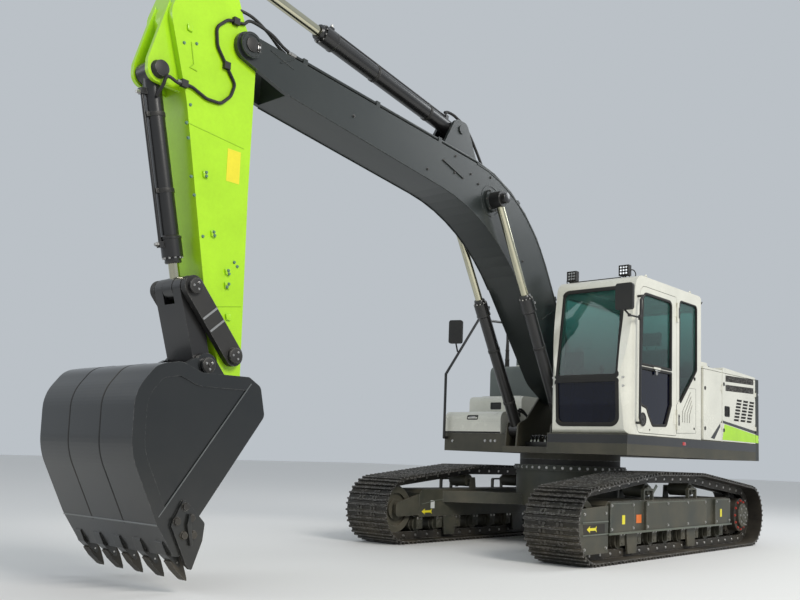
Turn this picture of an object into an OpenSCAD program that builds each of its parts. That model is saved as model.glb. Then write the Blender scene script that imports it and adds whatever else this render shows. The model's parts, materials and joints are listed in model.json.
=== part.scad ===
// Crawler excavator of the 21 tonne class, in millimetres.
// +X points forward, +Y to the machine's left, where the cab is, and +Z up.
// Sizes are written from the slew axis on the ground. The whole model is then shifted
// along X, so that its origin is the bottom centre of its own box.

/* [Tracks] */
// Distance between the middles of the two tracks
gauge = 2390; // [2300:10:2450]
// Width of a track shoe
shoe_w = 600; // [500:10:600]
// Place of the front idler's axle
idler_x = 1925; // [1850:5:2000]
// Place of the sprocket's axle
sprocket_x = -1905; // [-2000:5:-1850]
// Height of the idler's and the sprocket's axles, which is also the radius over the lugs
wheel_z = 375; // [360:1:390]
// Height of a shoe's lugs
lug_h = 26; // [18:1:34]
// Thickness of a shoe's plate
shoe_t = 10; // [8:1:14]
// Height of the chain under the shoes
chain_h = 84; // [70:1:100]
// Width of one rail of the chain
rail_w = 46; // [36:1:56]
// Distance between the middles of a chain's two rails
rail_gap = 196; // [180:2:220]
// Number of shoes on a track
shoe_count = 49; // [45:1:52]
// Radius of the top rollers
top_roller_r = 75; // [60:1:85]
// Height of the lugs' tips over the top rollers
top_run_z = 895; // [880:1:910]
// Place of the front top roller
top_roller_front_x = 600; // [500:10:700]
// Place of the rear top roller
top_roller_rear_x = -480; // [-600:10:-400]
// Radius of the bottom rollers
bottom_roller_r = 78; // [70:1:82]
// Number of bottom rollers on a side
bottom_roller_count = 9; // [7:1:9]
// Place of the first bottom roller
bottom_roller_x = 1560; // [1500:10:1580]
// Distance from one bottom roller to the next
bottom_roller_step = 352; // [340:2:360]

/* [Track frame] */
// Front end of the side frame's box
frame_front_x = 1600; // [1560:10:1640]
// Rear end of the side frame's box
frame_rear_x = -1420; // [-1460:10:-1380]
// Underside of the side frame's box
frame_low_z = 288; // [284:1:296]
// Top of the side frame's box
frame_high_z = 600; // [560:5:612]
// Half of the side frame's width
frame_half_w = 190; // [170:5:200]
// Ground clearance under the middle of the undercarriage
ground_clearance = 450; // [430:5:480]
// Top of the pedestal that carries the slew ring
pedestal_z = 925; // [905:5:940]
// Radius of the pedestal
pedestal_r = 640; // [600:10:660]
// Radius of the slew ring
slew_r = 600; // [560:10:620]
// Running gap of the slew ring
slew_gap = 0.5; // [0.3:0.1:1]

/* [Upper frame] */
// Underside of the upper frame
deck_low_z = 1061; // [1040:1:1080]
// Deck, where the cab stands
deck_z = 1279; // [1260:1:1300]
// Floor of the bay between the cab and the toolbox
bay_z = 1130; // [1110:1:1150]
// Distance from the middle to the machine's side
side_y = 1366; // [1340:1:1380]
// Half of the bay's width
bay_y = 395; // [390:1:420]
// Front edge of the deck under the cab
deck_front_x = 1128; // [1122:1:1150]
// Front edge of the deck on the right
right_front_x = 735; // [700:5:760]
// Radius over the counterweight, from the slew axis
tail_r = 2850; // [2820:5:2900]
// Depth of the counterweight, from its back to the body
weight_depth = 460; // [440:5:480]
// Top of the body
body_top_z = 2157; // [2120:1:2180]
// Wall thickness of the body's panels and doors
panel_t = 26; // [20:1:32]
// Rear end of the cab's zone, where the body's panels start
body_front_x = -738; // [-745:1:-730]
// Seam between the two left doors
seam_x = -1295; // [-1320:5:-1270]
// Gap around a door
door_gap = 6; // [5:1:10]

/* [Cab] */
// Foremost point of the cab
cab_front_x = 1114; // [1100:1:1118]
// Rear wall of the cab
cab_rear_x = -723; // [-728:1:-715]
// Right wall of the cab
cab_right_y = 400; // [396:1:410]
// Roof of the cab
roof_z = 2979; // [2950:1:3000]
// Front end of the roof
roof_front_x = 925; // [900:5:950]
// Wall thickness of the cab
cab_wall = 46; // [40:1:52]
// Front edge of the door at its foot
door_front_x = 915; // [900:5:930]
// Rear edge of the door, where its hinges are
door_rear_x = -10; // [-20:1:5]
// Thickness of the glass
glass_t = 8; // [6:1:10]

/* [Boom] */
// Boom foot pin, forward of the slew axis
foot_x = 97; // [80:1:110]
// Height of the boom foot pin
foot_z = 1790; // [1770:5:1810]
// Boom tip pin, forward of the slew axis
tip_x = 5287; // [5280:1:5294]
// Height of the boom tip pin
tip_z = 4189; // [4182:1:4196]
// Half of the boom's width
boom_half_w = 212; // [206:1:216]
// Boom cylinder's pin on the boom, forward of the slew axis
boom_eye_x = 2021; // [2000:1:2040]
// Height of the boom cylinder's pin on the boom
boom_eye_z = 3698; // [3680:1:3710]
// Boom cylinder's foot pin, forward of the slew axis
boom_ram_x = 680; // [670:1:690]
// Height of the boom cylinder's foot pin
boom_ram_z = 1330; // [1320:1:1340]
// Middle of a boom cylinder, from the machine's middle
boom_ram_y = 310; // [309:0.5:311]

/* [Arm] */
// Half of the arm's width
arm_half_w = 168; // [160:1:170]
// Arm cylinder's pin at the arm's top, forward of the slew axis
arm_eye_x = 5640; // [5630:1:5650]
// Height of the arm cylinder's pin at the arm's top
arm_eye_z = 4950; // [4940:1:4960]
// Arm cylinder's foot pin on the boom, forward of the slew axis
arm_ram_x = 2438; // [2420:1:2450]
// Height of the arm cylinder's foot pin
arm_ram_z = 4374; // [4366:1:4384]
// Bucket cylinder's foot pin, forward of the slew axis
bucket_ram_x = 6025; // [6018:1:6032]
// Height of the bucket cylinder's foot pin
bucket_ram_z = 3758; // [3750:1:3766]
// Rocker pin on the arm, forward of the slew axis
rocker_x = 5282; // [5278:1:5286]
// Height of the rocker pin
rocker_z = 1699; // [1695:1:1703]
// Bucket pin at the arm's tip, forward of the slew axis
hinge_x = 5275; // [5271:1:5279]
// Height of the bucket pin
hinge_z = 1270; // [1266:1:1274]

/* [Bucket] */
// Upper pin of the linkage, forward of the slew axis
link_top_x = 5680; // [5677:1:5683]
// Height of the upper pin of the linkage
link_top_z = 2178; // [2175:1:2181]
// Link pin on the bucket, forward of the slew axis
link_low_x = 5520; // [5517:1:5523]
// Height of the link pin on the bucket
link_low_z = 1602; // [1599:1:1605]
// Width of the bucket
bucket_w = 1200; // [1100:10:1250]
// Thickness of the bucket's shell
bucket_t = 26; // [20:1:32]
// Distance from the bucket pin to the bucket's back
bucket_back = 1073; // [1060:1:1090]
// Number of teeth
tooth_count = 5; // [4:1:6]

/* [Cylinders] */
// Outer radius of a boom cylinder's barrel
boom_barrel_r = 66; // [62:1:67]
// Radius of a boom cylinder's rod
boom_rod_r = 42; // [36:1:46]
// Outer radius of the arm cylinder's barrel
arm_barrel_r = 78; // [72:1:84]
// Radius of the arm cylinder's rod
arm_rod_r = 47; // [42:1:52]
// Outer radius of the bucket cylinder's barrel
bucket_barrel_r = 68; // [64:1:72]
// Radius of the bucket cylinder's rod
bucket_rod_r = 40; // [36:1:44]
// Radius of the large pins
pin_r = 45; // [40:1:50]
// Radial running clearance of a pin in its bore, and of a rod in its gland
run_gap = 0.05; // [0.02:0.01:0.09]
// Side gap between a link and what it moves past
side_gap = 6; // [5:1:8]
// Gap between pieces that are seated on each other
seat_gap = 0.3; // [0.1:0.1:0.5]

/* [Hidden] */

$fn = 96;
fine_fn = 96;
small_fn = 32;

// Pins, as x and z from the slew axis on the ground
foot = [foot_x, foot_z];
tip = [tip_x, tip_z];
boom_eye = [boom_eye_x, boom_eye_z];
boom_ram = [boom_ram_x, boom_ram_z];
arm_eye = [arm_eye_x, arm_eye_z];
arm_ram = [arm_ram_x, arm_ram_z];
bucket_ram = [bucket_ram_x, bucket_ram_z];
rocker = [rocker_x, rocker_z];
hinge = [hinge_x, hinge_z];
link_top = [link_top_x, link_top_z];
link_low = [link_low_x, link_low_z];

bucket_front_x = hinge_x + bucket_back;
// Where the counterweight meets the body
tail_front_x = weight_depth - tail_r;
mid_x = (bucket_front_x - tail_r) / 2;

// Colours, as the object shows them
cream = [0.88, 0.87, 0.8];
lime = [0.66, 0.9, 0.12];
slate = [0.2, 0.24, 0.23];
olive = [0.23, 0.26, 0.22];
skirt_grey = [0.24, 0.24, 0.2];
black_paint = [0.06, 0.06, 0.065];
rubber_black = [0.05, 0.05, 0.05];
steel_dark = [0.16, 0.16, 0.16];
chrome_rod = [0.8, 0.79, 0.72];
tint = [0.25, 0.5, 0.48, 0.5];

// Shifts the machine so that the model's origin is the bottom centre of its box
module placed() translate([-mid_x, 0, 0]) children();

// Both sides of the machine
module both_sides() {
    children();
    mirror([0, 1, 0]) children();
}

// Extrudes an outline drawn in x and z, from y0 to y1
module slab(y0, y1) translate([0, y1, 0]) rotate([90, 0, 0]) linear_extrude(y1 - y0) children();

// A cylinder along Y at a point p in x and z
module bar_y(p, r, y0, y1) translate([p.x, y0, p.y]) rotate([-90, 0, 0]) cylinder(h = y1 - y0, r = r);

// A box from its lowest to its highest corner
module block(low, high) translate(low) cube(high - low);

// A point at an angle and a distance from another
function polar(c, r, a) = [c.x + r * cos(a), c.y + r * sin(a)];

// Direction from p to q, in degrees
function heading(p, q) = atan2(q.y - p.y, q.x - p.x);

// Turns a turn into the range from 0 to 360 degrees
function full_turn(a) = (a % 360 + 360) % 360;

// One rounded corner at p between a and b, as points on its arc
function corner(a, p, b, r, n) =
    let (u = (a - p) / norm(a - p), v = (b - p) / norm(b - p), half = acos(max(-1, min(1, u * v))) / 2,
        reach = r / tan(half), c = p + (u + v) / norm(u + v) * r / sin(half),
        start = heading(c, p + u * reach), turn = full_turn(heading(c, p + v * reach) - start),
        sweep = turn > 180 ? turn - 360 : turn)
    [for (i = [0 : n]) polar(c, r, start + sweep * i / n)];

// An outline with rounded corners, from a table of x, z and the corner's radius
function rounded(t, n = 8) =
    [for (i = [0 : len(t) - 1])
        let (p = t[i], a = t[(i + len(t) - 1) % len(t)], b = t[(i + 1) % len(t)])
        each (p.z > 0
            ? corner([a.x, a.y], [p.x, p.y], [b.x, b.y], p.z, n)
            : [[p.x, p.y]])];

// The same table moved inwards by d, for an outline that runs counter-clockwise
function inset(t, d) =
    [for (i = [0 : len(t) - 1])
        let (p = t[i], a = t[(i + len(t) - 1) % len(t)], b = t[(i + 1) % len(t)],
            u = [p.x - a.x, p.y - a.y] / norm([p.x - a.x, p.y - a.y]),
            v = [b.x - p.x, b.y - p.y] / norm([b.x - p.x, b.y - p.y]),
            m = [-u.y, u.x], k = [-v.y, v.x], bend = u.x * v.y - u.y * v.x,
            q = [p.x, p.y] + (m + k) * d / (1 + m * k))
        [q.x, q.y, p.z <= 0 ? 0 : max(1, bend > 0 ? p.z - d : p.z + d)]];

// Outline of a link around two eyes
function link_shape(p, q, rp, rq, n = 16) =
    let (d = norm(q - p), a = heading(p, q), k = acos((rp - rq) / d))
    concat(
        [for (i = [0 : n]) polar(q, rq, a - k + 2 * k * i / n)],
        [for (i = [0 : n]) polar(p, rp, a + k + (360 - 2 * k) * i / n)]);

// Places children that are drawn along +X from a pin p, so that they point at q
module aim(p, q) translate([p.x, 0, p.y]) rotate([0, -heading(p, q), 0]) children();

// Track

track_y = gauge / 2;
// The belt around the wheels, over the lugs' tips: x, z and radius
belt = [
    [sprocket_x, wheel_z, wheel_z],
    [idler_x, wheel_z, wheel_z],
    [top_roller_front_x, top_run_z - lug_h - shoe_t - chain_h - top_roller_r,
        lug_h + shoe_t + chain_h + top_roller_r],
    [top_roller_rear_x, top_run_z - lug_h - shoe_t - chain_h - top_roller_r,
        lug_h + shoe_t + chain_h + top_roller_r],
];
belt_n = len(belt);
function belt_next(i) = belt[(i + 1) % belt_n];
function belt_span(i) = norm([belt_next(i).x - belt[i].x, belt_next(i).y - belt[i].y]);
// Direction of the belt's outward side on each straight
belt_side = [for (i = [0 : belt_n - 1])
    heading(belt[i], belt_next(i)) - acos((belt[i].z - belt_next(i).z) / belt_span(i))];
belt_straight = [for (i = [0 : belt_n - 1]) sqrt(pow(belt_span(i), 2) - pow(belt[i].z - belt_next(i).z, 2))];
belt_turn = [for (i = [0 : belt_n - 1]) full_turn(belt_side[(i + 1) % belt_n] - belt_side[i])];
belt_run = [for (i = [0 : belt_n - 1]) each [belt_straight[i], belt_next(i).z * belt_turn[i] * PI / 180]];
function total(v, n) = n <= 0 ? 0 : v[n - 1] + total(v, n - 1);
belt_length = total(belt_run, 2 * belt_n);
shoe_pitch = belt_length / shoe_count;
// How far a short straight dips inside its arc, at most
chain_dip = 0.7;

// A point at s along the belt and h outside the lugs' tips
function belt_at(s, h, k = 0) =
    k < 2 * belt_n - 1 && s > belt_run[k] ? belt_at(s - belt_run[k], h, k + 1)
    : let (i = floor(k / 2), a = belt_side[i])
        k % 2 == 0
        ? polar([belt[i].x, belt[i].y], belt[i].z + h, a) + s * [cos(a + 90), sin(a + 90)]
        : polar([belt_next(i).x, belt_next(i).y], belt_next(i).z + h, a + s / belt_next(i).z * 180 / PI);

// What the belt encloses, h outside the lugs' tips, in short straights as of a chain's links
module belt_fill(h) polygon([for (k = [0 : 4 * shoe_count - 1]) belt_at(k * shoe_pitch / 4, h)]);

// Places of a shoe's three lugs, as shares of the pitch
lug_places = [0.14, 0.5, 0.86];
lug_foot = 15;
lug_top = 8;

module track_loop() {
    base = -lug_h;
    slab(-shoe_w / 2, shoe_w / 2) difference() {
        polygon([for (k = [0 : shoe_count - 1], place = lug_places)
            let (s = (k + place) * shoe_pitch)
            each [belt_at(s - lug_foot, base), belt_at(s - lug_top, 0),
                belt_at(s + lug_top, 0), belt_at(s + lug_foot, base)]]);
        belt_fill(base - shoe_t);
    }
    for (side = [-1, 1])
        slab(side * rail_gap / 2 - rail_w / 2, side * rail_gap / 2 + rail_w / 2) difference() {
            belt_fill(base - shoe_t + 1);
            belt_fill(base - shoe_t - chain_h);
        }
}

module left_track() color(rubber_black) placed() translate([0, track_y, 0]) track_loop();
module right_track() color(rubber_black) placed() translate([0, -track_y, 0]) track_loop();

rail_r = wheel_z - lug_h - shoe_t - chain_h - chain_dip;
rail_in = rail_gap / 2 - rail_w / 2 - seat_gap;
rail_out = rail_gap / 2 + rail_w / 2;
fork_in = 152;
fork_t = 36;

module front_idlers() color(olive) placed() both_sides() translate([0, track_y, 0]) {
    c = [idler_x, wheel_z];
    difference() {
        union() {
            bar_y(c, rail_r, -rail_out, rail_out);
            bar_y(c, rail_r + 26, -rail_in, rail_in);
            bar_y(c, 62, -fork_in + seat_gap, fork_in - seat_gap);
        }
        for (side = [-1, 1]) translate([c.x, side * rail_out, c.y]) rotate([90, 0, 0])
            rotate_extrude() translate([150, 0]) square([70, 60], center = true);
    }
}

sprocket_teeth = 21;
tooth_h = 34;
motor_plate_y = frame_half_w - 30;
module sprockets() color(steel_dark) placed() both_sides() translate([0, track_y, 0]) {
    c = [sprocket_x, wheel_z];
    slab(-34, 34) translate(c) polygon([for (i = [0 : sprocket_teeth - 1], k = [0 : 3])
        polar([0, 0], rail_r - 14 + (k == 1 || k == 2 ? tooth_h : 0), (i + k / 4) * 360 / sprocket_teeth)]);
    bar_y(c, 205, 34, 150);
    bar_y(c, 150, 150, 182);
    bar_y(c, 218, -motor_plate_y + seat_gap, -34);
}

top_roller_z = belt[2].y;
module track_rollers() color(olive) placed() both_sides() translate([0, track_y, 0]) {
    top_rollers();
    bottom_rollers();
}

module top_rollers()
    for (x = [top_roller_front_x, top_roller_rear_x]) {
        bar_y([x, top_roller_z], top_roller_r - chain_dip, -rail_out, rail_out);
        bar_y([x, top_roller_z], top_roller_r - 22, rail_out, rail_out + 26);
        bar_y([x, top_roller_z], 28, -frame_half_w + 20, -rail_out);
    }

bottom_roller_z = lug_h + shoe_t + chain_h + bottom_roller_r;
module bottom_rollers()
    for (i = [0 : bottom_roller_count - 1]) {
        p = [bottom_roller_x - i * bottom_roller_step, bottom_roller_z];
        bar_y(p, bottom_roller_r - seat_gap, -rail_out, rail_out);
        bar_y(p, bottom_roller_r + 8, -rail_in, rail_in);
        bar_y(p, 34, -rail_out - 46, rail_out + 46);
        // Brackets under the frame
        for (side = [-1, 1]) translate([p.x, side * (rail_out + 28), 0])
            block([-50, -18, p.y - 45], [50, 18, frame_low_z - seat_gap]);
    }

frame_covers = [[-1400, -960], [-700, 800], [1060, 1560]];
module track_frames() color(olive) placed() both_sides() translate([0, track_y, 0]) {
    track_guards();
    slab(-frame_half_w, frame_half_w) polygon([[frame_rear_x, frame_low_z], [frame_front_x, frame_low_z],
        [frame_front_x, frame_high_z - 40], [frame_front_x - 60, frame_high_z],
        [frame_rear_x + 60, frame_high_z], [frame_rear_x, frame_high_z - 50]]);
    // Raised covers along the outer side: x from, x to
    for (c = frame_covers) slab(frame_half_w - 1, frame_half_w + 34) polygon(rounded([[c[0], frame_low_z + 6, 0],
        [c[1], frame_low_z + 6, 0], [c[1], frame_high_z - 8, 20], [c[0], frame_high_z - 8, 20]]));
    // Flange along the foot of the outer side
    block([frame_rear_x, frame_half_w, frame_low_z - 12], [frame_front_x, frame_half_w + 44, frame_low_z + 6]);
    // Fork that carries the idler
    for (side = [-1, 1]) slab(side * (fork_in + fork_t / 2) - fork_t / 2, side * (fork_in + fork_t / 2) + fork_t / 2)
        polygon(rounded([[frame_front_x - 1, frame_low_z + 20, 0], [idler_x + 70, 300, 40],
            [idler_x + 70, 450, 40], [frame_front_x - 1, frame_high_z - 60, 0]]));
    // Nose plate with the place of the direction arrow
    slab(frame_half_w - 1, frame_half_w + 30) polygon(rounded([[frame_front_x - 5, 110, 10],
        [idler_x + 190, 110, 30], [idler_x + 215, 535, 40], [frame_front_x - 5, 560, 10]]));
    // Plate that carries the sprocket's motor
    slab(-frame_half_w - 20, -motor_plate_y) polygon(rounded([[frame_rear_x + 1, frame_low_z + 10, 0],
        [frame_rear_x + 1, frame_high_z - 60, 0], [sprocket_x + 60, wheel_z + 150, 60],
        [sprocket_x - 120, wheel_z + 90, 90], [sprocket_x - 120, wheel_z - 90, 90],
        [sprocket_x + 60, wheel_z - 130, 60]]));
}

module track_guards() {
    // Chain guides under the frame: x
    for (x = [1032, -376], side = [-1, 1])
        slab(side * (rail_out + 52) - 10, side * (rail_out + 52) + 10)
            polygon([[x - 90, 70], [x + 90, 70], [x + 118, frame_low_z - seat_gap],
                [x - 118, frame_low_z - seat_gap]]);
    // Steps on the top of the frame, and what carries the top rollers: x
    for (x = [top_roller_front_x, top_roller_rear_x]) {
        slab(-frame_half_w, -frame_half_w + 20 - seat_gap) polygon([[x - 60, frame_high_z + seat_gap],
            [x + 60, frame_high_z + seat_gap],
            [x + 40, top_roller_z + 40], [x - 40, top_roller_z + 40]]);
        slab(frame_half_w - 36, frame_half_w) difference() {
            polygon(rounded([[x - 30, frame_high_z + seat_gap, 0], [x + 190, frame_high_z + seat_gap, 0],
                [x + 190, frame_high_z + 120, 30], [x - 30, frame_high_z + 120, 30]]));
            polygon(rounded([[x - 10, frame_high_z - 1, 0], [x + 170, frame_high_z - 1, 0],
                [x + 170, frame_high_z + 100, 16], [x - 10, frame_high_z + 100, 16]]));
        }
    }
}

// Middle of the undercarriage

leg_y = track_y - frame_half_w;
tie_r = 32;
tie_x = 725;
tie_low_z = 485;
tie_t = 60;
// Towing lug with an upright hole, seated on the pedestal
module tow_lug() difference() {
    translate([0, 0, tie_low_z]) linear_extrude(tie_t) polygon(rounded([[560, -110, 0], [660, -110, 0],
        [tie_x + 75, -70, 60], [tie_x + 75, 70, 60], [660, 110, 0], [560, 110, 0]]));
    translate([0, 0, tie_low_z - 1]) cylinder(h = tie_t + 2, r = pedestal_r + seat_gap);
    translate([tie_x, 0, tie_low_z - 1]) cylinder(h = tie_t + 2, r = tie_r);
}
module car_body() color(olive) placed() {
    translate([0, 0, ground_clearance]) cylinder(h = pedestal_z - ground_clearance - 60, r = pedestal_r);
    translate([0, 0, pedestal_z - 60]) cylinder(h = 60, r = pedestal_r + 25);
    translate([0, 0, ground_clearance]) linear_extrude(130) polygon([
        [1180, leg_y], [760, leg_y], [360, 480], [-360, 480], [-760, leg_y], [-1180, leg_y],
        [-520, 250], [-520, -250], [-1180, -leg_y], [-760, -leg_y], [-360, -480], [360, -480],
        [760, -leg_y], [1180, -leg_y], [520, -250], [520, 250]]);
    for (turn = [0, 180]) rotate([0, 0, turn]) tow_lug();
}

module slew_bearing() color(steel_dark) placed() {
    translate([0, 0, pedestal_z]) difference() {
        cylinder(h = (deck_low_z - pedestal_z) / 2, r = slew_r);
        translate([0, 0, -1]) cylinder(h = deck_low_z, r = slew_r - 110);
    }
}

// Upper frame

girder_y = boom_half_w + side_gap;
girder_t = 20;
girder_tail_z = 1180;
module tray(low, high) difference() {
    block(low, high);
    block(low + [30, 30, -1], high - [30, 30, 18]);
}

module upper_frame() color(skirt_grey) placed() difference() {
    union() {
        tray([tail_front_x, bay_y, deck_low_z], [deck_front_x, side_y, deck_z]);
        tray([tail_front_x, -side_y, deck_low_z], [right_front_x, -bay_y, deck_z]);
        difference() {
            block([tail_front_x, -bay_y, deck_low_z], [860, bay_y, bay_z]);
            translate([0, 0, deck_low_z - 1]) cylinder(h = 200, r = 260);
        }
        // Moving half of the slew ring
        translate([0, 0, (deck_low_z + pedestal_z) / 2 + slew_gap]) difference() {
            cylinder(h = (deck_low_z - pedestal_z) / 2 - slew_gap + 1, r = slew_r);
            translate([0, 0, -1]) cylinder(h = deck_low_z, r = slew_r - 110);
        }
        // Girders with the ears of the boom foot and of the boom cylinders
        both_sides() slab(girder_y, girder_y + girder_t) polygon(rounded([
            [tail_front_x, bay_z - 1, 0], [820, bay_z - 1, 0], [boom_ram.x + 110, boom_ram.y + 60, 60],
            [boom_ram.x - 60, boom_ram.y + 130, 80], [foot.x + 170, foot.y + 30, 110],
            [foot.x + 60, foot.y + 165, 110], [foot.x - 110, foot.y + 150, 100],
            [-560, 1480, 300], [-1080, 1300, 60], [-1200, girder_tail_z, 60],
            [tail_front_x, girder_tail_z, 0]]));
        // Outer ears of the boom cylinders
        both_sides() slab(bay_y - 13, bay_y) polygon(rounded([[boom_ram.x - 120, bay_z - 1, 0],
            [boom_ram.x + 130, bay_z - 1, 0], [boom_ram.x + 95, boom_ram.y + 95, 80],
            [boom_ram.x - 95, boom_ram.y + 95, 80]]));
        both_sides() bar_y(boom_ram, pin_r, girder_y, bay_y);
        bar_y(foot, pin_r, -girder_y, girder_y);
    }
}

hood_pin = [tail_front_x + 2, body_top_z + 6.5];
hood_hinge_y = [420, 1080];
weight_top_z = body_top_z - 20;
module weight_body() difference() {
    weight_mass();
    // Grooves across the back: z
    for (z = [1330, 1930]) translate([0, 0, z]) difference() {
        cylinder(h = 24, r = tail_r + 20, $fn = 200);
        translate([0, 0, -1]) cylinder(h = 26, r = tail_r - 14, $fn = 200);
    }
    // Lamp recesses
    both_sides() block([-tail_r - 10, 860, 1500], [tail_front_x - 200, 1080, 1640]);
}
module weight_mass() intersection() {
    translate([0, 0, deck_low_z]) cylinder(h = weight_top_z - deck_low_z, r = tail_r, $fn = 200);
    block([-tail_r - 1, -side_y, deck_low_z], [tail_front_x, side_y, body_top_z]);
    // Rounded upper rear edge
    slab(-side_y, side_y) polygon(rounded([[-tail_r - 1, deck_low_z, 0], [tail_front_x, deck_low_z, 0],
        [tail_front_x, weight_top_z, 0], [-tail_r + 40, weight_top_z, 160],
        [-tail_r - 1, body_top_z - 400, 60]]));
}
// Lifting lugs, seated on top of the counterweight
lift_hole = [tail_front_x - 170, weight_top_z + 50];
lift_hole_r = 24;
lift_y = 700;
lift_t = 50;
module lift_lug(y) difference() {
    slab(y - lift_t / 2, y + lift_t / 2) polygon(rounded([[lift_hole.x - 85, weight_top_z + seat_gap, 0],
        [lift_hole.x + 85, weight_top_z + seat_gap, 0], [lift_hole.x + 52, lift_hole.y + 52, 50],
        [lift_hole.x - 52, lift_hole.y + 52, 50]]));
    bar_y(lift_hole, lift_hole_r, y - lift_t, y + lift_t);
}

module counterweight() color(slate) placed() {
    weight_body();
    for (y = [-lift_y, lift_y]) lift_lug(y);
    both_sides() for (z = hinge_heights) knuckle([tail_front_x + 3, side_y + 6, z], 5.5, 50, false);
    // Fixed knuckles of the hood
    both_sides() for (y = hood_hinge_y, side = [-1, 1]) {
        bar_y(hood_pin, 6, y + side * 48 - 16, y + side * 48 + 16);
        block([hood_pin.x - 6, y + side * 48 - 16, body_top_z - 21], [hood_pin.x - 2, y + side * 48 + 16, hood_pin.y]);
    }
}

engine_low_z = 1290;
engine_rear_x = tail_front_x + 240;
module engine_block() color(steel_dark) placed() {
    block([engine_rear_x, -560, engine_low_z], [-1420, 520, 1960]);
    for (x = [engine_rear_x + 70, -1500], y = [-180, 140]) block([x, y, bay_z + seat_gap], [x + 60, y + 60, engine_low_z]);
}

// Fixed part of the body behind the cab
// One upright hinge at p: its knuckle on the door, or the two beside it on what carries the door
module knuckle(p, r, reach, moving) {
    half = 5 * r;
    lift = moving ? [[-half + seat_gap, half - seat_gap]] : [[-2 * half, -half], [half, 2 * half]];
    for (v = lift) {
        translate(p + [0, 0, v[0]]) cylinder(h = v[1] - v[0], r = r, $fn = small_fn);
        block([moving ? p.x : p.x - reach, p.y - r - 0.5, p.z + v[0]],
            [moving ? p.x + reach : p.x, p.y - r + 2.5, p.z + v[1]]);
    }
}
hinge_heights = [1480, 1930];

cover_half_w = girder_y - 12;
dome_plan = [[-1180, 1010, 60], [-860, 1010, 60], [-860, 1260, 60], [-1180, 1260, 60]];
module body_frame() color(cream) placed() {
    top = body_top_z - panel_t;
    // Top over the left front door and over the pumps
    block([seam_x, cab_right_y - 200, top], [body_front_x, side_y, body_top_z]);
    block([seam_x, -side_y, top], [-1156, cab_right_y - 200, body_top_z]);
    // Walls across the machine: x of the front face
    for (x = [body_front_x, seam_x + 8])
        block([x - 16, girder_y + girder_t + 10, deck_z], [x, side_y - panel_t - 12, top]);
    block([seam_x - 8, -side_y + panel_t + 12, deck_z], [seam_x + 8, girder_y + girder_t + 10, top]);
    // Posts beside the doors
    both_sides() block([seam_x - 8, side_y - panel_t - 12, deck_z], [seam_x + 8, side_y, top - seat_gap]);
    for (z = hinge_heights) knuckle([seam_x + 8 + 3, side_y + 6, z], 5.5, 18, false);
    // Wall at the counterweight
    both_sides() block([tail_front_x, 620, deck_z], [tail_front_x + 16, side_y - panel_t - 12, top - 60]);
    // Cover over the valves, behind the boom's foot
    slab(-cover_half_w, cover_half_w) polygon(rounded([[-1150, bay_z + seat_gap, 0], [-350, bay_z + seat_gap, 0],
        [-350, 1480, 60], [-560, 1820, 120], [-1150, 1900, 40]]));
    // Intake dome over the left front door
    translate([0, 0, body_top_z - 1]) linear_extrude(40) polygon(rounded(dome_plan));
    translate([0, 0, body_top_z + 38]) linear_extrude(40) polygon(rounded(inset(dome_plan, 14)));
    // Side of the pump room, beside the tank
    block([-1287, -side_y, deck_z], [-1156, -side_y + panel_t, top]);
}

module door_panel(x0, x1) {
    difference() {
        block([x0, side_y - panel_t, deck_z + door_gap], [x1, side_y, body_top_z - panel_t - door_gap]);
        block([x0 + 60, side_y - panel_t - 1, deck_z + 70], [x1 - 60, side_y - panel_t + 14, body_top_z - 110]);
    }
    for (z = hinge_heights) knuckle([x0 - door_gap + 3, side_y + 6, z], 5.5, 50, true);
}

module left_front_door() color(cream) placed() door_panel(seam_x + 8 + door_gap, body_front_x - door_gap);
// Grilles of a rear door: two mesh strips under the top edge, louvres in columns and a small mesh
strip_low = [[tail_front_x + 60, 2052], [tail_front_x + 60, 1936]];
strip_l = seam_x - tail_front_x - 165;
strip_h = 78;
strip_rise = 26;
louvre_columns = [tail_front_x + 645, tail_front_x + 430, tail_front_x + 220];
louvre_rows = 7;
louvre_low_z = 1550;
louvre_half = 84;
louvre_h = 28;
louvre_lean = 8;
louvre_step = 42;
grille_depth = 9;
module grille_cuts() slab(side_y - grille_depth, side_y + 1) {
    for (p = strip_low) polygon([p, p + [strip_l, -strip_rise], p + [strip_l, strip_h - strip_rise], p + [0, strip_h]]);
    for (x = louvre_columns, i = [0 : louvre_rows - 1])
        translate([x - i * 16, louvre_low_z + i * louvre_step])
            polygon([[-louvre_half, 0], [louvre_half, 0], [louvre_half - louvre_lean, louvre_h],
                [-louvre_half - louvre_lean, louvre_h]]);
    polygon(rounded([[seam_x - 230, 1595, 14], [seam_x - 77, 1595, 14], [seam_x - 77, 1718, 14],
        [seam_x - 230, 1718, 14]]));
}
module rear_door() difference() {
    door_panel(tail_front_x + door_gap, seam_x - 8 - door_gap);
    grille_cuts();
}
module left_rear_door() color(cream) placed() rear_door();
module right_door() color(cream) placed() mirror([0, 1, 0]) rear_door();

module hood() color(cream) placed() {
    hood_body();
    both_sides() for (y = hood_hinge_y) {
        bar_y(hood_pin, 6, y - 32 + seat_gap, y + 32 - seat_gap);
        block([hood_pin.x, y - 32 + seat_gap, body_top_z - 3], [hood_pin.x + 60, y + 32 - seat_gap, body_top_z + 4]);
    }
}

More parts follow.
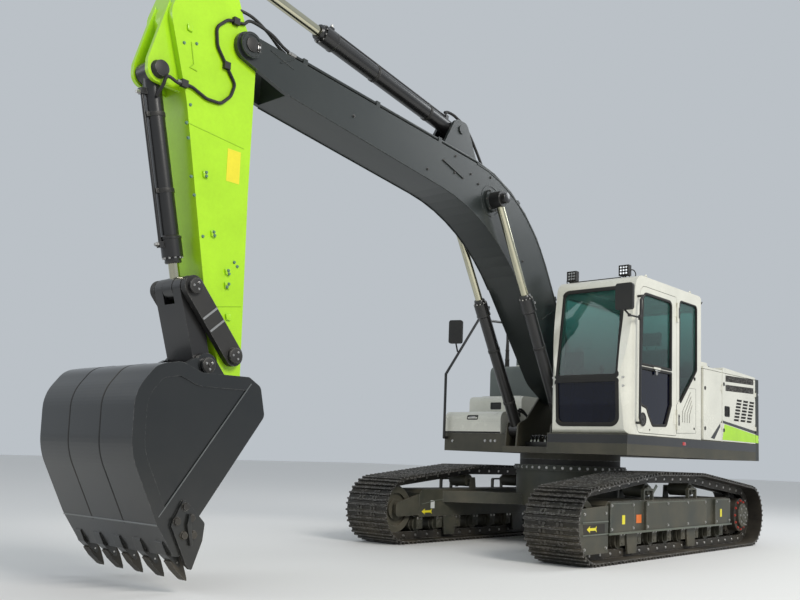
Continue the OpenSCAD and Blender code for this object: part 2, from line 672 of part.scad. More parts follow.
module hood_body() difference() {
    union() {
        slab(-side_y, side_y) polygon(rounded([[tail_front_x + door_gap, body_top_z - panel_t, 0],
            [seam_x - 8 - door_gap, body_top_z - panel_t, 0], [seam_x - 8 - door_gap, body_top_z + 40, 30],
            [tail_front_x + door_gap, body_top_z, 2]]));
        // Raised middle over the engine
        slab(-520, 520) polygon(rounded([[tail_front_x + 90, body_top_z - 10, 0], [seam_x - 65, body_top_z - 10, 0],
            [seam_x - 65, body_top_z + 92, 40], [tail_front_x + 90, body_top_z + 60, 40]]));
    }
    // Hollow underside
    slab(-side_y + 60, side_y - 60) polygon([[tail_front_x + 90, body_top_z - panel_t - 1],
        [seam_x - 50, body_top_z - panel_t - 1], [seam_x - 50, body_top_z + 8]]);
    translate([-1550, -820, body_top_z - 200]) cylinder(h = 400, r = exhaust_r + seat_gap);
}

tank_top_z = 2200;
tank_front_x = -190;
module fuel_tank() color(olive) placed() {
    slab(-side_y, -bay_y - 180) polygon(rounded([[-1150, deck_z, 10], [tank_front_x, deck_z, 10],
        [tank_front_x, tank_top_z, 90], [-1150, tank_top_z, 30]]));
    // Filler neck with its cap
    translate([-480, -1100, tank_top_z - 1]) cylinder(h = 131, r = 40);
    translate([-480, -1100, tank_top_z + 129]) cylinder(h = 56, r = 50);
}

step_top_z = 1765;
step_front_x = 245;
module step_box() color(cream) placed() {
    slab(-side_y, -bay_y - 160) polygon(rounded([[tank_front_x + 6, deck_z, 10], [step_front_x, deck_z, 10],
        [step_front_x, step_top_z, 70], [tank_front_x + 6, step_top_z, 10]]));
    // Treads on the top: x
    for (x = [-130 : 60 : 110]) block([x, -side_y + 120, step_top_z - 1], [x + 24, -bay_y - 260, step_top_z + 10]);
    // Fixed knuckles of the lid's hinges
    for (y = lid_hinge_y, side = [-1, 1])
        bar_y(lid_pin, 7.2, y + side * 45 - 15, y + side * 45 + 15);
}

toolbox_top_z = 1545;
lid_low_z = 1420;
lid_rear_x = step_front_x + 12;
lid_pin = [step_front_x + 7, toolbox_top_z + 7];
module toolbox() color(cream) placed() {
    difference() {
        block([step_front_x + 6, -side_y, deck_z], [right_front_x, -bay_y - 120, lid_low_z]);
        block([step_front_x + 30, -side_y + 24, deck_z + 20],
            [right_front_x - 24, -bay_y - 144, toolbox_top_z]);
    }
}

// Outline of the lid in side view, counter-clockwise: x, z, corner radius
lid_side = [[lid_rear_x, lid_low_z + seat_gap, 0], [right_front_x, lid_low_z + seat_gap, 0],
    [right_front_x, toolbox_top_z, 95], [lid_rear_x, toolbox_top_z, 6]];
lid_hinge_y = [-1250, -630];
module toolbox_lid() color(cream) placed() {
    difference() {
        slab(-side_y, -bay_y - 120) polygon(rounded(lid_side));
        intersection() {
            slab(-side_y + 24, -bay_y - 144) polygon(rounded(inset(lid_side, 24)));
            block([lid_rear_x, -side_y, lid_low_z], [right_front_x, 0, toolbox_top_z]);
        }
        block([lid_rear_x + 24, -side_y + 24, lid_low_z - 1], [right_front_x - 24, -bay_y - 144, lid_low_z + 26]);
    }
    // Knuckles of the lid's hinges
    for (y = lid_hinge_y) {
        bar_y(lid_pin, 5.5, y - 30 + seat_gap, y + 30 - seat_gap);
        block([lid_pin.x, y - 30 + seat_gap, toolbox_top_z - 3], [lid_pin.x + 40, y + 30 - seat_gap, lid_pin.y - 2]);
    }
}

// Cab

// Side outline of the cab, counter-clockwise: x, z, corner radius
cab_side = [[cab_rear_x, deck_z, 20], [cab_front_x - 30, deck_z, 60], [cab_front_x, 1900, 900],
    [roof_front_x + 30, roof_z, 150], [cab_rear_x, roof_z, 120]];
// Plan outline of the cab, counter-clockwise: x, y, corner radius
cab_plan = [[cab_rear_x, cab_right_y, 40], [cab_front_x, cab_right_y, 110],
    [cab_front_x, side_y, 150], [cab_rear_x, side_y, 60]];
// Outline of the door in side view, counter-clockwise: x, z, corner radius
door_side = [[door_rear_x, deck_z + 24, 20], [door_front_x, deck_z + 24, 60],
    [door_front_x + 10, 1900, 0], [roof_front_x - 60, roof_z - 110, 110], [door_rear_x, roof_z - 110, 30]];
// Outlines of the panes in side view: x, z, corner radius
door_pane_low = [[240, 1400, 50], [570, 1386, 50], [665, 1495, 60], [712, 1570, 60], [858, 1600, 50],
    [843, 1994, 10], [115, 1994, 10], [115, 1630, 40]];
door_pane_high = [[115, 2026, 10], [841, 2026, 10], [800, roof_z - 180, 80], [115, roof_z - 180, 60]];
rear_pane = [[-90, 1640, 30], [-90, roof_z - 130, 50], [-560, roof_z - 130, 50], [-560, 2080, 50]];
// Panes across the machine: y, z, corner radius
front_upper = [[cab_right_y + 80, 1880, 20], [side_y - 130, 1880, 20], [side_y - 130, roof_z - 129, 80],
    [cab_right_y + 80, roof_z - 129, 80]];
front_lower = [[cab_right_y + 80, 1370, 90], [side_y - 130, 1370, 90], [side_y - 130, 1850, 20],
    [cab_right_y + 80, 1850, 20]];
back_pane = [[cab_right_y + 110, 2020, 60], [side_y - 110, 2020, 60], [side_y - 110, roof_z - 159, 60],
    [cab_right_y + 110, roof_z - 159, 60]];
right_pane = [[-480, 1700, 60], [900, 1700, 60], [840, roof_z - 159, 80], [-480, roof_z - 159, 60]];

module cab_solid(d) intersection() {
    slab(cab_right_y + d, side_y - d) polygon(rounded(inset(cab_side, d)));
    translate([0, 0, deck_z + d]) linear_extrude(roof_z - deck_z - 2 * d) polygon(rounded(inset(cab_plan, d)));
}

// Extrudes an outline drawn in y and z, from x0 to x1
module sheet_x(x0, x1) translate([x0, 0, 0]) rotate([90, 0, 90]) linear_extrude(x1 - x0) children();

module cab_skin() difference() {
    cab_solid(0);
    cab_solid(cab_wall);
}

side_slots = [[-173, 1582, -388, 1818], [-235, 1571, -402, 1768], [-297, 1560, -416, 1719], [-359, 1550, -430, 1669]];
module cab_shell() color(cream) placed() {
    difference() {
        cab_body();
        // Slots of the side panel behind the door: x, z of the bend, x, z of the top
        slab(side_y - 9, side_y + 1) for (t = side_slots)
            polygon([[t[0] - 9, 1459], [t[0] + 9, 1459], [t[0] + 9, t[1]], [t[2] + 9, t[3]],
                [t[2] - 9, t[3]], [t[0] - 9, t[1]]]);
    }
    // Roof hatch
    translate([0, 0, roof_z - 1]) linear_extrude(26) polygon(rounded([[-330, 560, 60], [380, 560, 60],
        [380, 1200, 60], [-330, 1200, 60]]));
    // Lifting eyes of the cab
    for (x = [-560, 570], y = [cab_right_y + 90, side_y - 90]) translate([x, y, roof_z - 2]) {
        cylinder(h = 24, r = 9, $fn = small_fn);
        translate([0, 0, 40]) rotate([90, 0, 0]) rotate_extrude($fn = small_fn) translate([20, 0]) circle(r = 7, $fn = 16);
    }
    for (z = cab_hinge_heights) knuckle([cab_hinge.x, cab_hinge.y, z], 11, 60, false);
}

module cab_body() difference() {
    cab_skin();
    slab(side_y - 2 * cab_wall, side_y + 1) polygon(rounded(inset(door_side, -door_gap)));
    slab(side_y - 2 * cab_wall, side_y + 1) polygon(rounded(rear_pane));
    slab(cab_right_y - 1, cab_right_y + 2 * cab_wall) polygon(rounded(right_pane));
    sheet_x(700, cab_front_x + 10) {
        polygon(rounded(front_upper));
        polygon(rounded(front_lower));
    }
    sheet_x(cab_rear_x - 10, cab_rear_x + 100) polygon(rounded(back_pane));
}

// A pane that fills a wall's opening: the wall's own middle layer
module glass_layer() difference() {
    cab_solid(cab_wall / 2 - glass_t / 2);
    cab_solid(cab_wall / 2 + glass_t / 2);
}

module cab_glass() color(tint) placed() intersection() {
    glass_layer();
    union() {
        slab(side_y - 2 * cab_wall, side_y + 1) polygon(rounded(inset(rear_pane, seat_gap)));
        slab(cab_right_y - 1, cab_right_y + 2 * cab_wall) polygon(rounded(inset(right_pane, seat_gap)));
        sheet_x(700, cab_front_x + 10) {
            polygon(rounded(inset(front_upper, seat_gap)));
            polygon(rounded(inset(front_lower, seat_gap)));
        }
        sheet_x(cab_rear_x - 10, cab_rear_x + 100) polygon(rounded(inset(back_pane, seat_gap)));
    }
}

cab_hinge = [door_rear_x - 3, side_y + 12];
cab_hinge_heights = [1480, 2700];
module cab_door() color(cream) placed() {
    cab_door_leaf();
    // Round loudspeaker cover and the door's pull
    bar_y([810, 1443], 74, side_y - 6, side_y + 9);
    slab(side_y - 6, side_y + 12) polygon(rounded([[400, 2000, 8], [560, 2000, 8], [560, 2022, 8], [400, 2022, 8]]));
    for (z = cab_hinge_heights) knuckle([cab_hinge.x, cab_hinge.y, z], 11, 70, true);
}

module cab_door_leaf() difference() {
    intersection() {
        cab_skin();
        slab(side_y - cab_wall, side_y + 1) polygon(rounded(door_side));
    }
    slab(side_y - 2 * cab_wall, side_y + 1) {
        polygon(rounded(door_pane_low));
        polygon(rounded(door_pane_high));
    }
}

module cab_door_glass() color(tint) placed() intersection() {
    glass_layer();
    slab(side_y - 2 * cab_wall, side_y + 1) {
        polygon(rounded(inset(door_pane_low, seat_gap)));
        polygon(rounded(inset(door_pane_high, seat_gap)));
    }
}

seat_y = (cab_right_y + side_y) / 2;
module seat_base() color(black_paint) placed() {
    block([-250, seat_y - 200, deck_z + cab_wall], [230, seat_y + 200, 1660]);
    block([-300, seat_y - 235, 1660], [260, seat_y + 235, 1700]);
}
module seat_cushion() color(steel_dark) placed()
    slab(seat_y - 245, seat_y + 245) polygon(rounded([[-200, 1700 + seat_gap, 20], [290, 1700 + seat_gap, 40],
        [290, 1810, 50], [-200, 1800, 30]]));
module seat_back() color(steel_dark) placed() {
    slab(seat_y - 235, seat_y + 235) polygon(rounded([[-300, 1700 + seat_gap, 20], [-206, 1700 + seat_gap, 20],
        [-290, 2360, 50], [-400, 2350, 50]]));
    slab(seat_y - 130, seat_y + 130) polygon(rounded([[-395, 2365, 20], [-300, 2370, 30],
        [-320, 2560, 50], [-410, 2550, 40]]));
    for (y = [-60, 60]) translate([-348, seat_y + y, 2330]) cylinder(h = 60, r = 9, $fn = small_fn);
}

module control_console() color(black_paint) placed() {
    // Consoles beside the seat with their levers: side
    for (side = [-1, 1]) {
        block([-240, seat_y + side * 330 - 70, deck_z + cab_wall], [300, seat_y + side * 330 + 70, 1900]);
        translate([230, seat_y + side * 330, 1900]) cylinder(h = 170, r = 16, $fn = small_fn);
        translate([230, seat_y + side * 330, 2070]) sphere(r = 34, $fn = small_fn);
    }
    // Travel levers: y from the seat's middle
    for (y = [-60, 60]) {
        translate([700, seat_y + y, deck_z + cab_wall]) cylinder(h = 480, r = 12, $fn = small_fn);
        translate([700, seat_y + y, deck_z + cab_wall + 480]) sphere(r = 24, $fn = small_fn);
    }
    // Display on its post
    translate([860, cab_right_y + 150, deck_z + cab_wall]) cylinder(h = 700, r = 18, $fn = small_fn);
    block([835, cab_right_y + 70, deck_z + cab_wall + 700], [885, cab_right_y + 270, deck_z + cab_wall + 860]);
}

// A tube through a list of points
module tube(points, r) for (i = [0 : len(points) - 2]) {
    p = points[i];
    q = points[i + 1];
    d = q - p;
    translate(p) rotate([0, acos(d.z / norm(d)), atan2(d.y, d.x)]) cylinder(h = norm(d), r = r, $fn = small_fn);
    if (i > 0) translate(p) rotate([37, 23, 0]) sphere(r = r + 0.6, $fn = small_fn);
}

rail_y = -side_y + 40;
module handrails() color(black_paint) placed() {
    tube([[right_front_x + seat_gap, rail_y, deck_z - 60], [right_front_x + 65, rail_y, deck_z - 60],
        [right_front_x + 65, rail_y, 2010], [150, rail_y, 2790], [-506, rail_y, 2830],
        [-515, rail_y, tank_top_z + seat_gap]], 17);
    // Grab rail behind the cab
    tube([[cab_rear_x - seat_gap, 1290, 2925], [cab_rear_x - 45, 1290, 2925], [cab_rear_x - 45, 1290, 2190],
        [cab_rear_x - seat_gap, 1290, 2190]], 13);
    // Grab rail on the cab's left front pillar
    tube([[944, side_y + seat_gap, 1400], [944, side_y + 60, 1400], [975, side_y + 60, 1450],
        [970, side_y + 60, 2690], [925, side_y + 60, 2740], [925, side_y + seat_gap, 2740]], 14);
}

// A mirror's head: a flat case across the machine, h high
module mirror_head(w, h) sheet_x(-20, 20) polygon(rounded([[-w / 2, 0, 30], [w / 2, 0, 30],
    [w / 2, h, 30], [-w / 2, h, 30]]));
module mirrors() color(black_paint) placed() {
    translate([600, rail_y - 20, 2420]) rotate([0, 0, 20]) mirror_head(180, 300);
    tube([[577.8, rail_y, 2313], [606, rail_y - 8, 2419]], 10);
    translate([1180, side_y - 16, 2560]) mirror_head(200, 280);
    tube([[985.5, side_y + 60, 2500], [1180, side_y + 40, 2500], [1180, side_y - 16, 2560 - seat_gap]], 10);
}

lamp_x = 720;
module work_lamps() color(black_paint) placed() {
    for (y = [cab_right_y + 62, side_y - 246]) {
        block([lamp_x, y - 60, roof_z + 36], [lamp_x + 62, y + 60, roof_z + 152]);
        translate([lamp_x + 20, y, roof_z + seat_gap]) cylinder(h = 40, r = 10, $fn = small_fn);
    }
    // Bar across the front of the roof
    slab(cab_right_y + 80, side_y - 150) polygon(rounded([[lamp_x - 70, roof_z + seat_gap, 0],
        [lamp_x - 20, roof_z + seat_gap, 0], [lamp_x - 20, roof_z + 34, 12], [lamp_x - 70, roof_z + 34, 12]]));
}

exhaust_r = 62;
module exhaust() color(steel_dark) placed() translate([-1550, -820, body_top_z - 20]) cylinder(h = 430, r = exhaust_r);

// Boom

// Side outline of the boom, counter-clockwise: x, z, corner radius
boom_side = [[foot.x - 150, foot.y - 125, 120], [foot.x + 160, foot.y - 140, 130], [640, 1860, 500],
    [1993, 3538, 2150], [4891, 3926, 600], [tip.x + 132, tip.y - 95, 110], [tip.x + 115, tip.y + 118, 110],
    [1388, 3963, 1700], [500, 2420, 900]];
fork_x = 4880;
arm_ear_in = arm_barrel_r + side_gap + 2;
// Line of the pipes along the boom's back, from the tip towards the foot
pipe_off = 36;
pipe_line = rounded(inset(boom_side, -pipe_off), 5);
pipe_front = pipe_line[41] + (pipe_line[42] - pipe_line[41]) * 0.16;
pipe_rear = pipe_line[53] + (pipe_line[0] - pipe_line[53]) * 0.4;
boom_pipe = concat([pipe_front], [for (i = [42 : 53]) pipe_line[i]], [pipe_rear]);
pipe_y = [138, 182];
pipe_clamps = [[41, 0.2], [41, 0.5], [41, 0.8], [44, 0.5], [47, 0.5], [50, 0.5], [52, 0.5]];
module boom_pipes() {
    for (side = [-1, 1], y = pipe_y) tube([for (p = boom_pipe) [p.x, side * y, p.y]], 15);
    // Clamps: after which point of the line, and how far to the next
    for (c = pipe_clamps, side = [-1, 1]) {
        p = pipe_line[c[0]];
        q = pipe_line[c[0] + 1];
        m = p + (q - p) * c[1];
        translate([m.x, side * (pipe_y[0] + pipe_y[1]) / 2, m.y]) rotate([0, -heading(p, q), 0])
            translate([-24, -44, -20]) cube([48, 88, pipe_off + 30]);
    }
}
module boom() color(slate) placed() {
    boom_body();
    boom_pipes();
    // Pins that the boom holds
    bar_y(tip, pin_r, -boom_half_w, boom_half_w);
    bar_y(arm_ram, pin_r, -arm_ear_in - 48, arm_ear_in + 48);
}

module boom_body() difference() {
    union() {
        slab(-boom_half_w, boom_half_w) polygon(rounded(boom_side, 12));
        // Bosses of the boom cylinders' pin and of the boom tip pin
        both_sides() bar_y(boom_eye, 120, boom_half_w - 1, boom_half_w + 30);
        both_sides() bar_y(tip, 105, boom_half_w - 1, boom_half_w + 34);
        // Ears of the arm cylinder
        both_sides() slab(arm_ear_in, arm_ear_in + 34) polygon(rounded([[arm_ram.x - 330, 3980, 0], [arm_ram.x + 360, 4010, 0],
            [arm_ram.x + 95, arm_ram.y + 95, 90], [arm_ram.x - 95, arm_ram.y + 95, 90]]));
    }
    bar_y(foot, pin_r + run_gap, -boom_half_w - 1, boom_half_w + 1);
    slab(-arm_half_w - side_gap, arm_half_w + side_gap) polygon([[fork_x, 3700], [tip.x + 200, 3700],
        [tip.x + 200, tip.y + 200], [fork_x - 40, tip.y + 200]]);
}

// Arm

// Side outline of the arm, counter-clockwise: x, z, corner radius
arm_side = [[hinge.x - 112, hinge.y - 106, 104], [hinge.x + 112, hinge.y - 106, 104], [5388, 1640, 200],
    [5520, 2020, 300], [5806, 3571, 900], [5992, 4220, 200], [arm_eye.x + 105, arm_eye.y - 30, 60],
    [arm_eye.x + 60, arm_eye.y + 90, 80], [arm_eye.x - 80, arm_eye.y + 70, 80], [5310, 4370, 160],
    [tip.x - 105, tip.y - 40, 120], [5190, 3000, 900]];
bucket_ear_in = bucket_barrel_r + side_gap + 2;
module arm() color(lime) placed() {
    arm_body();
    // Pin of the bucket cylinder, held by the ears
    bar_y(bucket_ram, pin_r, -bucket_ear_in - 36, bucket_ear_in + 36);
}

module arm_body() difference() {
    union() {
        slab(-arm_half_w, arm_half_w) polygon(rounded(arm_side));
        // Ears of the bucket cylinder
        both_sides() slab(bucket_ear_in, bucket_ear_in + 36) polygon(rounded([[5780, 3650, 0], [bucket_ram.x - 60, bucket_ram.y - 100, 60],
            [bucket_ram.x + 95, bucket_ram.y - 90, 90], [bucket_ram.x + 95, bucket_ram.y + 60, 90],
            [5970, 4330, 0]]));
        both_sides() bar_y(rocker, 88, arm_half_w - 1, arm_half_w + side_gap);
    }
    bar_y(tip, pin_r + run_gap, -arm_half_w - 1, arm_half_w + 1);
    bar_y(hinge, pin_r + run_gap, -arm_half_w - 1, arm_half_w + 1);
    bar_y(rocker, pin_r + run_gap, -arm_half_w - 20, arm_half_w + 20);
    // Fork for the arm cylinder's rod eye
    slab(-62, 62) polygon([[arm_eye.x - 400, arm_eye.y - 330], [arm_eye.x + 400, arm_eye.y - 330],
        [arm_eye.x + 400, arm_eye.y + 300], [arm_eye.x - 400, arm_eye.y + 300]]);
}

// Both sides of an open line of points, d away on each side
function beside(t, i, d) =
    let (p = t[max(i - 1, 0)], q = t[min(i + 1, len(t) - 1)], u = (q - p) / norm(q - p)) t[i] + d * [-u.y, u.x];
function ribbon(t, d) = concat([for (i = [0 : len(t) - 1]) beside(t, i, -d)],
    [for (i = [len(t) - 1 : -1 : 0]) beside(t, i, d)]);

// Hose on the left side of the arm, held by its fittings: x, z, bend radius
hose_line = [[5412, 4352, 0], [5490, 4335, 80], [5590, 4240, 80], [5572, 4090, 120], [5385, 3840, 60],
    [5420, 3735, 90], [5510, 3645, 80], [5640, 3640, 120], [5773, 3688, 120], [5850, 3690, 0]];
hose_last = len(hose_line) - 1;
hose_points = [for (i = [0 : hose_last]) let (p = hose_line[i])
    each (i == 0 || i == hose_last ? [[p.x, p.y]]
        : corner([hose_line[i - 1].x, hose_line[i - 1].y], [p.x, p.y],
            [hose_line[i + 1].x, hose_line[i + 1].y], p.z, 5))];
hose_r = 13;
hose_y = arm_half_w + hose_r + 1;
module arm_hose() color(rubber_black) placed() {
    // The round section as three nested widths
    for (a = [22.5, 45, 67.5]) slab(hose_y - hose_r * cos(a), hose_y + hose_r * cos(a))
        polygon(ribbon(hose_points, hose_r * sin(a)));
    // Blocks that hold the two ends and the middle
    for (p = [hose_line[0], [5478, 3964, 0], hose_line[hose_last]])
        translate([p.x - 28, arm_half_w + seat_gap, p.y - 28]) cube([56, 2 * hose_r + 8, 56]);
}

// Bucket

// Side outline of the bucket from the bucket pin, counter-clockwise: x, z, corner radius
bucket_side = [[-8, -38, 60], [520, -752, 30], [600, -860, 30], [660, -1012, 4], [705, -1008, 4],
    [850, -790, 400], [bucket_back, -330, 500], [bucket_back, 70, 300], [920, 262, 180], [730, 300, 130],
    [560, 236, 160], [150, 240, 40], [40, 176, 60]];
function from_hinge(t) = [for (p = t) [p.x + hinge.x, p.y + hinge.y, p.z]];
ear_in = arm_half_w + side_gap;
ear_t = 44;
rim_w = 96;
rim_t = 9;
// Front of the side plates, up to their slanted seam: x, z from the bucket pin
seam_low = [839, -746];
seam_high = [121, 205];
// Recessed field of each side plate: the outline's back corners moved in, open towards the seam
side_field = let (t = inset(from_hinge(bucket_side), rim_w))
    [[t[5].x, t[5].y, 0], for (i = [6 : 10]) t[i], [t[11].x - rim_w / 2, t[11].y, 0]];
mouth_plate = [for (p = [seam_high, seam_low, seam_low + [-1200, -900], seam_high + [-1200, -900]]) [p.x, p.y, 0]];
side_cutter = [[658, -622, 20], [483, -794, 30], [495, -912, 40], [572, -1108, 10], [615, -1072, 10], [752, -801, 30]];
tooth_gap = (bucket_w - 150) / (tooth_count - 1);
tooth_places = [for (i = [0 : tooth_count - 1]) -bucket_w / 2 + 75 + i * tooth_gap];
lip_mid = hinge + [686, -990];
lip_turn = heading([850, -790], [705, -1008]);
// Draws along the lip's slope, from the middle of its edge
module at_lip() translate(lip_mid) rotate(lip_turn) children();
module bucket() color(slate) placed() {
    half = bucket_w / 2;
    // Side plates, recessed inside their rims and behind their thicker mouth plates
    both_sides() difference() {
        slab(half - bucket_t, half + rim_t) polygon(rounded(from_hinge(bucket_side)));
        difference() {
            slab(half, half + rim_t + 1) polygon(rounded(side_field));
            slab(half - 1, half + rim_t + 2) polygon(rounded(from_hinge(mouth_plate)));
        }
    }
    slab(-half + bucket_t - 1, half - bucket_t + 1) difference() {
        polygon(rounded(from_hinge(bucket_side)));
        polygon(rounded(inset(from_hinge(bucket_side), bucket_t)));
        translate(hinge) polygon([[300, 400], [300, 150], [690 - bucket_t, -990], [640, -1100], [-200, -1100],
            [-200, 400]]);
    }
    // Ears
    both_sides() slab(ear_in, ear_in + ear_t) {
        polygon(link_shape(hinge, link_low, 112, 92));
        polygon([hinge + [-20, 90], hinge + [90, -60], hinge + [320, 214], hinge + [600, 236], hinge + [340, 380]]);
    }
    // Side cutters
    both_sides() slab(half - 1, half + rim_t + 22) polygon(rounded(from_hinge(side_cutter)));
    // Noses of the teeth, welded over the lip
    for (y = tooth_places) slab(y - 44, y + 44) at_lip()
        polygon([[-150, -34], [-20, -46], [40, -30], [112, -9], [112, 9], [40, 30], [-20, 46], [-110, 34]]);
    bar_y(hinge, pin_r, -ear_in - 1, ear_in + 1);
    both_sides() bar_y(link_low, 62, ear_in + ear_t - 1, ear_in + ear_t + 26);
}

module bucket_teeth() color(steel_dark) placed()
    for (y = tooth_places) difference() {
        slab(y - 40, y + 40) at_lip() polygon([[44, -40], [120, -34], [214, -10], [232, 0], [214, 10], [120, 34], [44, 40]]);
        slab(y - 60, y + 60) at_lip()
            polygon([[30, -33.3], [40, -30.3], [112.3, -9.3], [112.3, 9.3], [40, 30.3], [30, 33.3]]);
    }

// Linkage

rocker_in = arm_half_w + side_gap + seat_gap;
rocker_t = 54;
module rocker_links() color(steel_dark) placed() {
    both_sides() slab(rocker_in, rocker_in + rocker_t) difference() {
        polygon(link_shape(rocker, link_top, 82, 82));
        translate(link_top) circle(r = pin_r + run_gap);
    }
    both_sides() bar_y(rocker, 62, rocker_in + rocker_t, rocker_in + rocker_t + 22);
    bar_y(rocker, pin_r, -rocker_in - 1, rocker_in + 1);
}

link_half_w = arm_half_w - 4;
rod_eye_half = 60;
module bucket_link() color(steel_dark) placed() {
    difference() {
        slab(-link_half_w, link_half_w) polygon(link_shape(link_low, link_top, 72, 84));
        // Room for the rod's eye, which is deeper on the arm's side
        slab(-rod_eye_half - side_gap, rod_eye_half + side_gap) translate(link_top)
            rotate(heading(link_low, link_top) - 90)
            polygon([[150, -108], [20, -108], [-150, -260], [-150, 150], [150, 150]]);
    }
    both_sides() bar_y(link_top, pin_r, rod_eye_half + side_gap, rocker_in + rocker_t + 22);
}

// Cylinders

port_pipe_r = 12;
head_step = 12;
// A barrel drawn along +X from its pin
module barrel(len, r, rod_r, eye_r, eye_half) difference() {
    union() {
        rotate([0, 90, 0]) cylinder(h = len - 40, r = r);
        translate([len - 190, 0, 0]) rotate([0, 90, 0]) cylinder(h = 150, r = r + head_step);
        translate([len - 40, 0, 0]) rotate([0, 90, 0]) cylinder(h = 40, r = r - 6);
        bar_y([0, 0], eye_r, -eye_half, eye_half);
        // Pipe to the head's port, with its blocks
        translate([130, 0, r + head_step + port_pipe_r + 3]) rotate([0, 90, 0])
            cylinder(h = len - 250, r = port_pipe_r, $fn = small_fn);
        for (x = [120, len - 160]) block([x, -24, r - 20], [x + 44, 24, r + 44]);
    }
    bar_y([0, 0], pin_r + run_gap, -eye_half - 1, eye_half + 1);
    translate([eye_r + 40, 0, 0]) rotate([0, 90, 0]) cylinder(h = len - eye_r - 130, r = r - 9);
    translate([eye_r + 40, 0, 0]) rotate([0, 90, 0]) cylinder(h = len, r = rod_r + run_gap);
}

// A rod drawn along +X: its eye at reach, its piston behind
module rod(reach, len, r, piston_r, eye_r, eye_half) {
    translate([reach - len, 0, 0]) rotate([0, 90, 0]) cylinder(h = len - eye_r + 20, r = r);
    translate([reach - len, 0, 0]) rotate([0, 90, 0]) cylinder(h = 60, r = piston_r);
    bar_y([reach, 0], eye_r, -eye_half, eye_half);
}

boom_ram_len = norm(boom_eye - boom_ram);
boom_barrel_len = 1640;
boom_rod_len = 1640;
boom_eye_half = boom_ram_y - boom_half_w - 30 - seat_gap;
module boom_barrels() color(black_paint) placed() both_sides() translate([0, boom_ram_y, 0])
    aim(boom_ram, boom_eye) barrel(boom_barrel_len, boom_barrel_r, boom_rod_r, 88, boom_barrel_r + 2);
module boom_rods() color(chrome_rod) placed() both_sides() translate([0, boom_ram_y, 0])
    aim(boom_ram, boom_eye) {
        rod(boom_ram_len, boom_rod_len, boom_rod_r, boom_barrel_r - 9 - run_gap, 84, boom_eye_half);
        bar_y([boom_ram_len, 0], pin_r + 8, boom_eye_half, boom_eye_half + 50);
    }

arm_ram_len = norm(arm_eye - arm_ram);
arm_barrel_len = 1975;
arm_rod_len = 1900;
module arm_barrel() color(black_paint) placed() aim(arm_ram, arm_eye)
    barrel(arm_barrel_len, arm_barrel_r, arm_rod_r, 92, arm_barrel_r + 2);
module arm_rod() color(chrome_rod) placed() aim(arm_ram, arm_eye)
    rod(arm_ram_len, arm_rod_len, arm_rod_r, arm_barrel_r - 9 - run_gap, 88, 54);

bucket_ram_len = norm(link_top - bucket_ram);
bucket_barrel_len = 1420;
bucket_rod_len = 1330;
module bucket_barrel() color(black_paint) placed() aim(bucket_ram, link_top)
    barrel(bucket_barrel_len, bucket_barrel_r, bucket_rod_r, 84, bucket_barrel_r + 2);
module bucket_rod() color(chrome_rod) placed() difference() {
    aim(bucket_ram, link_top)
        rod(bucket_ram_len, bucket_rod_len, bucket_rod_r, bucket_barrel_r - 9 - run_gap, 84, rod_eye_half);
}

car_body();
track_frames();
left_track();
right_track();
front_idlers();
sprockets();
track_rollers();
slew_bearing();
upper_frame();
counterweight();
engine_block();
body_frame();
fuel_tank();
step_box();
toolbox();
toolbox_lid();
cab_shell();
cab_glass();
cab_door();
cab_door_glass();
seat_base();
seat_cushion();
seat_back();
control_console();
handrails();
mirrors();
work_lamps();
exhaust();
hood();
left_front_door();
left_rear_door();
right_door();
boom();
arm();
arm_hose();
bucket();
bucket_teeth();
rocker_links();
bucket_link();
boom_barrels();
boom_rods();
arm_barrel();
arm_rod();
bucket_barrel();
bucket_rod();
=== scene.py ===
"""Finishes and fittings of a crawler excavator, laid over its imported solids."""

import json
import math

import bmesh
import bpy
from bpy.props import FloatProperty, FloatVectorProperty, PointerProperty
from mathutils import Matrix, Vector


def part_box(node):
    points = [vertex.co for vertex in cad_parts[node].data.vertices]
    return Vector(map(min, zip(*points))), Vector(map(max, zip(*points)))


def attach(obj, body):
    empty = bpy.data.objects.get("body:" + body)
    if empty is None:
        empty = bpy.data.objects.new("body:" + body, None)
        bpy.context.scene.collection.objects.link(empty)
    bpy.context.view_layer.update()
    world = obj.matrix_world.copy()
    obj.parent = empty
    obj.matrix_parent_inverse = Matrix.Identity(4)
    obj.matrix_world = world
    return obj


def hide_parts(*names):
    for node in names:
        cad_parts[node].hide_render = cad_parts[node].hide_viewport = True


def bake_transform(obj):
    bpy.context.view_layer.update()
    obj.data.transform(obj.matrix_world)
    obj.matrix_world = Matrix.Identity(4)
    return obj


bl_info = {
    "name": "Crawler excavator finishes",
    "version": (1, 0, 0),
    "blender": (4, 5, 0),
    "location": "3D View > Sidebar > Excavator",
    "description": "Materials, fittings and stage of a crawler excavator",
    "category": "Object",
}

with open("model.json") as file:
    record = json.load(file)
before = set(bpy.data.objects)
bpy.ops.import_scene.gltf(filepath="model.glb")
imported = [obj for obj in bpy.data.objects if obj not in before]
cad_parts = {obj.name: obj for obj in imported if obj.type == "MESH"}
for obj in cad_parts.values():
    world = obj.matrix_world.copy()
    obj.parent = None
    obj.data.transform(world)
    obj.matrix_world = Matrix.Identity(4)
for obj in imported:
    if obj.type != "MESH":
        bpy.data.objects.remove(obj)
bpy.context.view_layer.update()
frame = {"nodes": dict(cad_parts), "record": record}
nodes = frame["nodes"]
# Machine coordinates are in millimetres, with x = 0 on the slew axis
ring_low, ring_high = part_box("slew_bearing")
SLEW_X = (ring_low.x + ring_high.x) / 2


def place(p):
    """A point of the machine in millimetres, as the scene's metres."""
    return Vector((SLEW_X + p[0] / 1000, p[1] / 1000, p[2] / 1000))


FORWARD, UP = (1, 0, 0), (0, 0, 1)

# Places of the machine that the fittings take their own from

